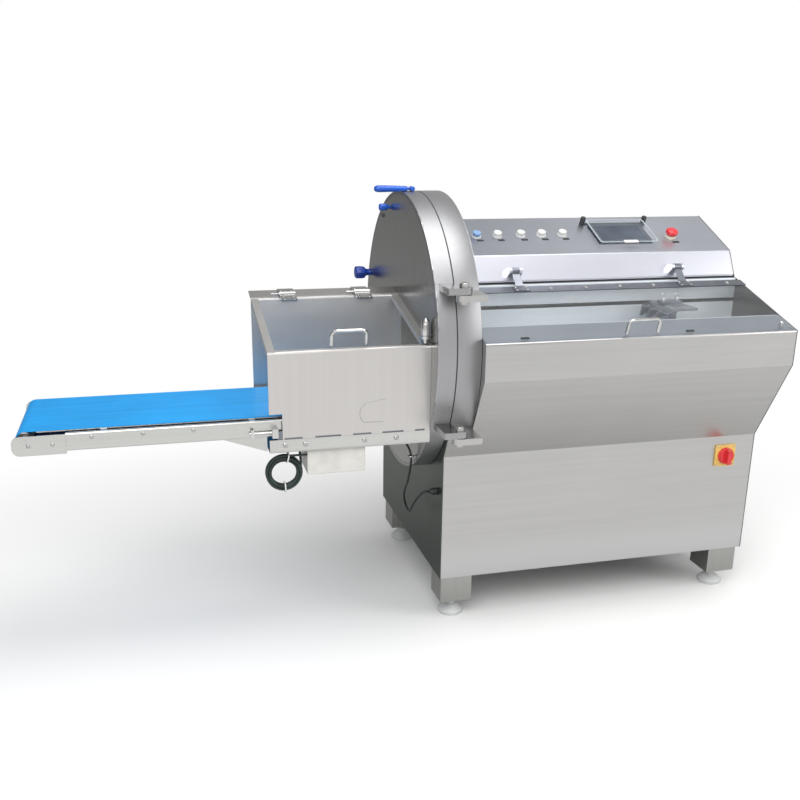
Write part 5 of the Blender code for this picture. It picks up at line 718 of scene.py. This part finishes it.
def on_console(x, share, lift=0.0, along=0.0):
    """A point on the control face: a share of its depth, a height above it and a distance up the slope."""
    face = np.array((x, CONSOLE_EDGE[0] + CONSOLE_RUN * share, CONSOLE_EDGE[1] + CONSOLE_RISE * share))
    return face + CONSOLE_NORMAL * lift + CONSOLE_UP * along


# Pieces used in several places


def screw(centre, normal, radius, height, steps=18):
    """A domed head: a flange, a quarter-round shoulder and a six-sided socket in its top."""
    socket = hexagon(radius * 0.85, steps)
    shares = [(1.0, 0.0), (1.0, 0.22), (0.97, 0.45), (0.86, 0.75), (0.68, 0.94), (0.56, 1.0)]
    radii = [np.full(steps, radius * wide) for wide, high in shares] + [socket, socket]
    heights = [height * high for wide, high in shares] + [height, height * 0.45]
    return turned(centre, normal, np.array(radii), np.array(heights), steps)


def four_screws(place, x, y, lift, spread, radius, height):
    """Screws at the corners of a hinge leaf: place is on_deck or on_guard."""
    normal = DECK_NORMAL if place is on_deck else GUARD_NORMAL
    spots = [(x + side * spread[0], y + up * spread[1]) for side in (-1, 1) for up in (-1, 1)]
    return [screw(place(*spot, lift), normal, radius, height) for spot in spots]


def rounded_outline(width, depth, corner, steps=5):
    """Quarter turns of the corner's radius, each moved to its own corner of the rectangle."""
    turn = np.linspace(0, math.pi / 2, steps)
    quarters = []
    for index, (side, up) in enumerate(((1, 1), (-1, 1), (-1, -1), (1, -1))):
        angle = turn + index * math.pi / 2
        middle = np.array((side * (width / 2 - corner), up * (depth / 2 - corner)))
        quarters.append(middle + corner * np.stack([np.cos(angle), np.sin(angle)], axis=1))
    return np.concatenate(quarters)


def plate(centre, side, up, size, thickness, corner, edge=0.0006):
    """A flat plate: its rounded outline at the foot and the top, drawn in by the edge's rounding at both."""
    side, up = unit(side), unit(up)
    normal = np.cross(side, up)
    rows = []
    for inset, height in ((edge, 0), (0, edge), (0, thickness - edge), (edge, thickness)):
        outline = rounded_outline(size[0] - 2 * inset, size[1] - 2 * inset, max(corner - inset, edge))
        spread = outline[:, :1] * side + outline[:, 1:] * up
        rows.append(np.asarray(centre) + normal * height + spread)
    return np.array(rows)


# Blade housing


DRUM_CENTRE = np.array((0, 0.322, 0.862))
DRUM_RADIUS = 0.428
SEAL = (-0.0024, 0.0016)


def drum_rims():
    """Smooth bands round both halves of the housing, rolled over the door's outer edge, and the door's seal."""
    outer, inner = DRUM_RADIUS, DRUM_RADIUS - 0.0022
    turn = np.linspace(0, math.pi / 2, 6)
    roll = 0.0035
    section = [(outer - 0.012, -0.0558), (outer - 0.012, -0.0561)]
    section += [(outer - roll + roll * math.sin(a), -0.0526 - roll * math.cos(a)) for a in turn]
    section += [(outer, SEAL[0]), (inner, SEAL[0]), (inner, -0.0535)]
    ring_piece("door_rim_band", DRUM_CENTRE, ALONG, section, rim_sheet, "door")
    section = [(inner, SEAL[1]), (outer, SEAL[1]), (outer, 0.0696), (outer - 0.0008, 0.0706), (inner, 0.0700)]
    ring_piece("shell_rim_band", DRUM_CENTRE, ALONG, section, rim_sheet, "machine")
    section = [(inner, SEAL[0]), (outer, SEAL[0]), (outer, SEAL[1]), (inner, SEAL[1])]
    ring_piece("door_seal", DRUM_CENTRE, ALONG, section, pad_dark, "door")


def door_fittings():
    """A dark bolt on the door's face, and set screws in its hinge lugs."""
    face = -0.0560
    piece("door_bolt", [screw((face, 0.524, 1.203), LEFTWARD, 0.007, 0.005)], iron, "door")
    tops = [(0.005, -0.128, z) for z in (1.0735, 0.6735)]
    caps = [screw(top, UPWARD, 0.0115, 0.0035, 24) for top in tops]
    piece("hinge_pin_caps", caps, bolt_metal, "machine")


def clamps():
    """A long tapered cam lever, a small pull knob and a lobed hand knob, all in blue."""
    centre = np.array((0, 0.300, 1.2975))
    x = [-0.1400, -0.1396, -0.1380, -0.1350, -0.1310, -0.1200, -0.0900, -0.0600, -0.0420, -0.0390, -0.0385]
    radii = np.array([0.0030, 0.0062, 0.0092, 0.0114, 0.0126, 0.0130, 0.0122, 0.0108, 0.0098, 0.0088, 0.0052])
    turn = np.linspace(0, 2 * math.pi, 28, endpoint=False)
    oval = 1 - 0.22 * np.abs(np.sin(turn)) ** 1.5
    grip = turned(centre, ALONG, radii[:, None] * oval, x, 28)
    lever = piece("cam_lever_grip", [grip], blue, "top_clamp")
    profile = [(0.0040, -0.0384), (0.0046, -0.0380), (0.0046, -0.0260), (0.0040, -0.0256)]
    shank = lathe(centre, ALONG, profile, 20)
    profile = [(0.0060, -0.0130), (0.0070, -0.0122), (0.0070, 0.0122), (0.0060, 0.0130)]
    hub = lathe(centre + (-0.024, 0, 0), BACK, profile, 24)
    piece("cam_lever_hub", [shank, hub], blue, "top_clamp")
    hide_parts("top_clamp_lever")

    centre = np.array((0, 0.442, 1.234))
    profile = [(0.0050, -0.0903), (0.0078, -0.0900), (0.0098, -0.0885), (0.0107, -0.0860), (0.0110, -0.0820)]
    profile += [(0.0107, -0.0700), (0.0090, -0.0640), (0.0062, -0.0620), (0.0056, -0.0600), (0.0055, -0.0563)]
    knob = piece("small_pull_knob", [lathe(centre, ALONG, profile, 28)], blue, "small_clamp")
    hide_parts("small_clamp_knob")

    centre = np.array((0, 0.708, 0.994))
    turn = np.linspace(0, 2 * math.pi, 72, endpoint=False)
    lobes = 0.925 + 0.075 * np.cos(6 * turn)
    x = [-0.1103, -0.1100, -0.1085, -0.1060, -0.0940, -0.0800, -0.0760, -0.0740, -0.0700, -0.0620, -0.0563]
    radii = np.array([0.0110, 0.0168, 0.0204, 0.0220, 0.0225, 0.0218, 0.0190, 0.0150, 0.0118, 0.0112, 0.0112])
    strength = np.array([0.0, 0.4, 0.9, 1.0, 1.0, 1.0, 0.7, 0.2, 0.0, 0.0, 0.0])[:, None]
    grid = turned(centre, ALONG, radii[:, None] * (1 + strength * (lobes - 1)), x, 72)
    knob = piece("lobed_hand_knob", [grid], deep_blue, "rear_clamp")
    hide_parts("rear_clamp_knob")


# Feed side


def feed_fittings():
    """Screws along the cover's strip and in its hinge leaves, two dark pads and a small stop knob."""
    strip_y = 0.151
    strip_xs = (0.140, 0.379, 0.495, 0.611, 0.726, 0.987)
    screws = [screw(on_deck(x, strip_y, 0.0097), DECK_NORMAL, 0.0058, 0.0030) for x in strip_xs]
    for x in (0.283, 0.837):
        screws += four_screws(on_deck, x, strip_y, 0.0119, (0.0165, 0.0085), 0.0042, 0.0024)
    piece("cover_strip_screws", screws, bolt_metal, "cover")
    cover_top = 0.0064
    rests = [on_deck(x, -0.122, cover_top) for x in (0.188, 0.699)]
    pads = [plate(rest, ALONG, DECK_UP, (0.026, 0.009), 0.0030, 0.003) for rest in rests]
    piece("cover_rest_pads", pads, pad_dark, "cover")
    profile = [(0.0065, 0.0), (0.0065, 0.002), (0.0035, 0.003), (0.0035, 0.006)]
    profile += [(0.0062, 0.0075), (0.0062, 0.011), (0.0045, 0.0125), (0.0010, 0.0130)]
    knob = lathe(on_deck(1.008, -0.111, cover_top), DECK_NORMAL, profile, 20)
    piece("cover_stop_knob", [knob], bright, "cover")


def carriage_fittings():
    """Two eye bolts on the carriage's top plate, with a clamp bar under them."""
    top = 0.9532
    bars = [plate((0.776, 0.128, top), ALONG, BACK, (0.072, 0.034), 0.009, 0.003)]
    piece("carriage_clamp_bar", bars, slate_metal, "feed_carriage")
    eyes = []
    for x in (0.752, 0.800):
        base = np.array((x, 0.128, top + 0.0090))
        profile = [(0.0075, 0.0), (0.0075, 0.0025), (0.0045, 0.0040), (0.0040, 0.0060)]
        eyes.append(lathe(base, UPWARD, profile, 18))
        turn = np.linspace(-math.pi / 2, 1.5 * math.pi, 41)
        loop = base + (0, 0, 0.0135) + 0.0075 * np.stack([np.cos(turn), 0 * turn, np.sin(turn)], axis=1)
        eyes.append(swept(loop[:-1], 0.0022, steps=10))
    piece("carriage_eye_bolts", eyes, bolt_metal, "feed_carriage")


def feed_screw_thread():
    """A right-hand thread, cut to its depth where cos(2 pi * length / pitch - starts * turn) is low."""
    left, right, plain_end = 0.0712, 0.9641, 0.0198
    radius, depth, pitch, starts = 0.0079, 0.0011, 0.005, 4
    x = np.linspace(left, right, 1500)
    turn = np.linspace(0, 2 * math.pi, 24, endpoint=False)
    wave = np.cos(2 * math.pi * (x[:, None] / pitch) - starts * turn)
    threaded = np.minimum(x - left, right - x)[:, None] > plain_end
    radii = radius - np.where(threaded, depth * np.clip(0.5 - wave, 0, 1), 0.0)
    grid = turned((0, 0.235, 0.905), ALONG, radii, x, 24)
    rod = piece("threaded_feed_screw", [grid], bright, "screw", sharp=50)
    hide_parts("feed_screw")


# Console


BUTTON_XS = (0.204, 0.274, 0.353, 0.424, 0.496)
BUTTON_COLLAR = [(0.0140, 0.0058), (0.0118, 0.0056), (0.0118, 0.0004)]
BUTTON_COLLAR += [(0.0155, 0.0004), (0.0155, 0.0030), (0.0150, 0.0050)]
BUTTON_CAP = [(0.0090, 0.0036), (0.0113, 0.0040), (0.0113, 0.0091), (0.0128, 0.0094), (0.0132, 0.0101)]
BUTTON_CAP += [(0.0132, 0.0150), (0.0127, 0.0161), (0.0117, 0.0166), (0.0100, 0.0166)]
BUTTON_CAP += [(0.0086, 0.0162), (0.0010, 0.0160)]


def console_tag(x, share, along, size):
    """A thin blank tag on the control face."""
    return plate(on_console(x, share, 0.0002, along), ALONG, CONSOLE_UP, size, 0.0008, 0.001, 0.0002)


def console_buttons():
    """Bright collars, round caps with a dished top, and a small blank tag below each button."""
    for index, x in enumerate(BUTTON_XS, 1):
        finish, slot = (button_blue, "blue_plastic") if index == 1 else (white, "white_plastic")
        cap = lathe(on_console(x, 0.5), CONSOLE_NORMAL, BUTTON_CAP, 32)
        made = piece(f"button_cap_{index}", [cap], finish, f"button_{index}")
        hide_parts(f"push_button_{index}")
    for index, x in enumerate(BUTTON_XS, 1):
        place, name = on_console(x, 0.5), f"button_collar_{index}"
        ring_piece(name, place, CONSOLE_NORMAL, BUTTON_COLLAR, collar_white, "machine", 32)
    tags = [console_tag(x + 0.007, 0.5, -0.0235, (0.022, 0.009)) for x in BUTTON_XS]
    tags.append(console_tag(0.882, 0.38, -0.028, (0.024, 0.010)))
    piece("blank_button_tags", tags, pad_dark, "machine")


def stop_button():
    """A mushroom head with a rolled rim and a shallow ring in its top, on a cream collar."""
    base = on_console(0.874, 0.38)
    profile = [(0.0095, 0.0044), (0.0095, 0.0143), (0.0165, 0.0146), (0.0190, 0.0160), (0.0200, 0.0192)]
    profile += [(0.0200, 0.0220), (0.0193, 0.0250), (0.0175, 0.0276), (0.0145, 0.0294), (0.0112, 0.0301)]
    profile += [(0.0105, 0.0298), (0.0095, 0.0298), (0.0088, 0.0302), (0.0040, 0.0303), (0.0008, 0.0303)]
    head = lathe(base, CONSOLE_NORMAL, profile, 48)
    made = piece("stop_head", [head], red, "stop", sharp=50)
    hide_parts("stop_button")
    section = [(0.0108, 0.0101), (0.0108, 0.0099), (0.0172, 0.0004), (0.0176, 0.0010)]
    section += [(0.0176, 0.0092), (0.0168, 0.0101)]
    ring_piece("stop_collar", base, CONSOLE_NORMAL, section, cream, "machine", 40)


SCREEN_X = 0.703


def screen_fittings():
    """Black posts, a moulded rim round the clear cover, and the catch on its front edge."""
    profile = [(0.0083, 0.0018), (0.0083, 0.0255), (0.0074, 0.0266), (0.0010, 0.0268)]
    feet = [on_console(SCREEN_X + side * 0.111, 0.5, 0, 0.065) for side in (-1, 1)]
    posts = [lathe(foot, CONSOLE_NORMAL, profile) for foot in feet]
    piece("screen_cover_posts", posts, pad_dark, "machine")
    width, depth = 0.202, 0.138
    outline = rounded_outline(width, depth, 0.009, 7)
    centre = on_console(SCREEN_X, 0.5, 0.0162, -0.0055)
    ring = centre + outline[:, :1] * ALONG + outline[:, 1:] * CONSOLE_UP
    lifts = ((-0.0022, 0.0), (0.0022, 0.0), (0.0018, 0.0018), (-0.0018, 0.0018))
    out = unit_rows(outline)
    out = out[:, :1] * ALONG + out[:, 1:] * CONSOLE_UP
    loops = [ring + out * side + CONSOLE_NORMAL * lift for side, lift in lifts]
    closed_loop("screen_cover_rim", np.stack(loops, axis=1), rim_plastic, "screen_flap")
    catch_place = on_console(SCREEN_X + 0.003, 0.5, 0.0163, -0.0740)
    catch = plate(catch_place, ALONG, CONSOLE_UP, (0.050, 0.014), 0.0030, 0.002)
    piece("screen_cover_catch", [catch], tie_white, "screen_flap")


def switch_fittings():
    """Corner screws of the switch plate."""
    face, reach = -0.0061, 0.029
    corners = [(0.949 + side * reach, face, 0.478 + up * reach) for side in (-1, 1) for up in (-1, 1)]
    screws = [screw(corner, FRONT, 0.0028, 0.0014) for corner in corners]
    piece("switch_plate_screws", screws, bolt_metal, "machine")


# Outfeed guard and conveyor


def guard_fittings():
    """Screws in the tray and the lid's hinges, a dark sheet behind the tray's slots as painted shade, a white strip
    under the lid's front edge, the pressed outline darkened as painted shade, and the pin.
    """
    fixed = [screw((x, -0.0447, 0.629), FRONT, 0.0075, 0.0038) for x in (-0.472, -0.416, -0.247, -0.155)]
    moving = []
    hinge_y = 0.3265
    for x in (-0.4035, -0.1715):
        fixed += four_screws(on_guard, x, hinge_y + 0.026, 0.0054, (0.015, 0.011), 0.0044, 0.0022)
        moving += four_screws(on_guard, x, hinge_y - 0.028, 0.0107, (0.015, 0.011), 0.0044, 0.0022)
    piece("guard_screws", fixed, bolt_metal, "door")
    piece("lid_leaf_screws", moving, bolt_metal, "lid")
    # Painted shade: a thin dark sheet behind the tray's slots, for the shade in them.
    lining = plate((-0.2830, -0.0404, 0.6560), ALONG, UPWARD, (0.420, 0.026), 0.0008, 0.001, 0.0002)
    piece("tray_slot_shade_sheet", [lining], slate_strip, "door")
    # A thin white strip along the underside of the lid's front edge.
    seal = plate(on_guard(-0.300, -0.0345, -0.0016), ALONG, GUARD_UP, (0.350, 0.008), 0.0012, 0.001, 0.0003)
    piece("lid_edge_white_strip", [seal], tie_white, "lid")
    # Painted shade: the real pressed ridge takes the darker rim finish, for the shade along it.
    ridge = [(-0.188, 0.745), (-0.205, 0.744), (-0.2177, 0.740), (-0.2398, 0.737), (-0.256, 0.724)]
    ridge += [(-0.261, 0.710), (-0.259, 0.694), (-0.251, 0.682), (-0.236, 0.680), (-0.193, 0.680)]
    line = smooth_line(np.array([(x, -0.0446, z) for x, z in ridge]), 80)
    piece("pressed_outline", [swept(line, 0.0009, steps=8)], rim_sheet, "door")
    profile = [(0.0104, 0.0), (0.0126, 0.0010), (0.0133, 0.0030), (0.0133, 0.0085), (0.0108, 0.0100)]
    profile += [(0.0108, 0.0125), (0.0133, 0.0140), (0.0133, 0.0435), (0.0122, 0.0465)]
    profile += [(0.0096, 0.0480), (0.0060, 0.0480)]
    sleeve = lathe((-0.071, -0.030, 0.9070), UPWARD, profile, 32)
    piece("pull_pin_sleeve", [sleeve], bright, "pull_pin")


def conveyor_fittings():
    """Screws in the rails and the nose."""
    xs = (-0.981, -0.850, -0.718)
    near = [screw((x, -0.0321, 0.686), FRONT, 0.0058, 0.0030) for x in xs]
    far = [screw((x, 0.3239, 0.686), BACK, 0.0058, 0.0030) for x in xs]
    nose = [screw((x, -0.0325, 0.671), FRONT, 0.0055, 0.0028) for x in (-1.140, -1.080)]
    piece("rail_screws", near + far + nose, bolt_metal, "door")


def foot_caps():
    """Domed cups over the levelling feet, with a lock nut on each stud."""
    cups, nuts = [], []
    profile = [(0.0385, 0.0004), (0.0395, 0.0014), (0.0395, 0.0095), (0.0380, 0.0112), (0.0300, 0.0190)]
    profile += [(0.0180, 0.0285), (0.0148, 0.0310), (0.0146, 0.0380), (0.0110, 0.0392)]
    nut = np.array([hexagon(0.026, 48) * share for share in (0.96, 1.0, 1.0, 0.96)])
    for x in (0.058, 0.992):
        for y in (0.063, 0.657):
            cups.append(lathe((x, y, 0), UPWARD, profile, 48))
            nuts.append(turned((x, y, 0.0475), UPWARD, nut, (0, 0.001, 0.008, 0.009), 48))
    piece("foot_cups", cups, foot_pale, "machine")
    piece("foot_lock_nuts", nuts, bolt_metal, "machine")


def rear_screws():
    """Screws round the rear cover."""
    places = [(x, 0.7201, z) for x in (0.035, 0.360, 0.690, 1.015) for z in (0.180, 0.560, 0.930)]
    screws = [screw(place, BACK, 0.0065, 0.0034) for place in places]
    piece("rear_cover_screws", screws, bolt_metal, "machine")


drum_rims()
door_fittings()
clamps()
feed_fittings()
carriage_fittings()
feed_screw_thread()
console_buttons()
stop_button()
screen_fittings()
switch_fittings()
guard_fittings()
conveyor_fittings()
foot_caps()
rear_screws()


# Floor, light and surroundings


def ray(shader, *kinds):
    """1 for rays of any of these kinds, 0 for the others."""
    light_path = shader.nodes.new("ShaderNodeLightPath")
    seen = Value(shader, light_path.outputs[kinds[0]])
    for kind in kinds[1:]:
        seen = seen.most(Value(shader, light_path.outputs[kind]))
    return seen


def floor():
    """Pale floor that keeps the machine's shadow, and is white beyond it and, for metal, in front of it."""
    shader = Shader("floor")
    place = shader.place(scale=(0.8, 1.1, 1.0))
    away = shader.node("VectorMath", {"operation": "LENGTH"}, (place,), output="Value")
    ahead = shader.node("SeparateXYZ", {}, (place,), output=1).between(-0.58, -0.80)
    direct = ray(shader, "Is Camera Ray", "Is Transmission Ray")
    white_floor = direct * away.between(1.0, 2.1)
    white_floor = white_floor.most(ray(shader, "Is Glossy Ray") * ahead)
    glow = shader.node("Emission", {}, {"Color": (1, 1, 1), "Strength": 1.0})
    tone = shader.mix(direct, (0.55, 0.55, 0.54), (0.97, 0.97, 0.965))
    shader.finish(Base_Color=tone, Roughness=0.9, Specular_IOR_Level=0.1)
    matt = Value(shader, shader.surface.outputs[0])
    mixed = shader.node("MixShader", {}, {0: white_floor, 1: matt, 2: glow})
    shader.links.new(mixed.socket, shader.nodes["Material Output"].inputs["Surface"])
    mesh = bpy.data.meshes.new("floor")
    reach = 30.0
    corners = [(-reach, -reach, 0), (reach, -reach, 0), (reach, reach, 0), (-reach, reach, 0)]
    mesh.from_pydata(corners, [], [(0, 1, 2, 3)])
    mesh.materials.append(shader.material)
    made = bpy.data.objects.new("floor", mesh)
    bpy.context.scene.collection.objects.link(made)


# Metal mirrors a studio that is darker to the back left and brighter in front and above
DARK_SIDE = tuple(float(share) for share in unit((-0.75, 0.62, -0.10)))


def world():
    """White to the camera and through glass, a graded studio in metal, and plain grey light for all else."""
    scene = bpy.context.scene
    scene.world = bpy.data.worlds.new("studio")
    scene.world.use_nodes = True
    nodes, links = scene.world.node_tree.nodes, scene.world.node_tree.links
    light_path = nodes.new("ShaderNodeLightPath")
    plain = nodes["Background"]
    white_back, studio = nodes.new("ShaderNodeBackground"), nodes.new("ShaderNodeBackground")
    for back, strength in ((plain, 0.50), (white_back, 1.0)):
        back.inputs["Color"].default_value = (1, 1, 1, 1)
        back.inputs["Strength"].default_value = strength
    direction = nodes.new("ShaderNodeTexCoord")
    dot = nodes.new("ShaderNodeVectorMath")
    dot.operation = "DOT_PRODUCT"
    links.new(direction.outputs["Generated"], dot.inputs[0])
    dot.inputs[1].default_value = DARK_SIDE
    ramp = nodes.new("ShaderNodeMapRange")
    ramp.interpolation_type = "SMOOTHSTEP"
    links.new(dot.outputs["Value"], ramp.inputs["Value"])
    for name, end in (("From Min", -0.1), ("From Max", 0.95), ("To Min", 0.67), ("To Max", 0.10)):
        ramp.inputs[name].default_value = end
    links.new(ramp.outputs["Result"], studio.inputs["Strength"])
    straight = nodes.new("ShaderNodeMath")
    straight.operation = "MAXIMUM"
    links.new(light_path.outputs["Is Camera Ray"], straight.inputs[0])
    links.new(light_path.outputs["Is Transmission Ray"], straight.inputs[1])
    mirrored, seen = nodes.new("ShaderNodeMixShader"), nodes.new("ShaderNodeMixShader")
    wiring = (
        (light_path.outputs["Is Glossy Ray"], plain.outputs[0], studio.outputs[0], mirrored),
        (straight.outputs[0], mirrored.outputs[0], white_back.outputs[0], seen),
    )
    for factor, first, second, mixed in wiring:
        for socket, output in zip(mixed.inputs, (factor, first, second)):
            links.new(output, socket)
    links.new(seen.outputs[0], nodes["World Output"].inputs["Surface"])


def lamp(name, place, aim, size, power):
    light = bpy.data.lights.new(name, "AREA")
    light.shape = "DISK"
    light.size = size
    light.energy = power
    made = bpy.data.objects.new(name, light)
    bpy.context.scene.collection.objects.link(made)
    made.location = place
    made.rotation_euler = (Vector(aim) - Vector(place)).to_track_quat("-Z", "Y").to_euler()


floor()
world()
lamp("key_light", (-1.6, -3.6, 3.6), (0.1, 0.0, 0.8), 3.6, 120)
lamp("top_light", (0.8, -0.6, 4.2), (0.3, 0.0, 0.8), 3.0, 70)
lamp("fill_light", (3.4, -2.2, 2.0), (0.3, 0.0, 0.8), 2.0, 35)

bpy.context.scene.view_settings.view_transform = "Standard"
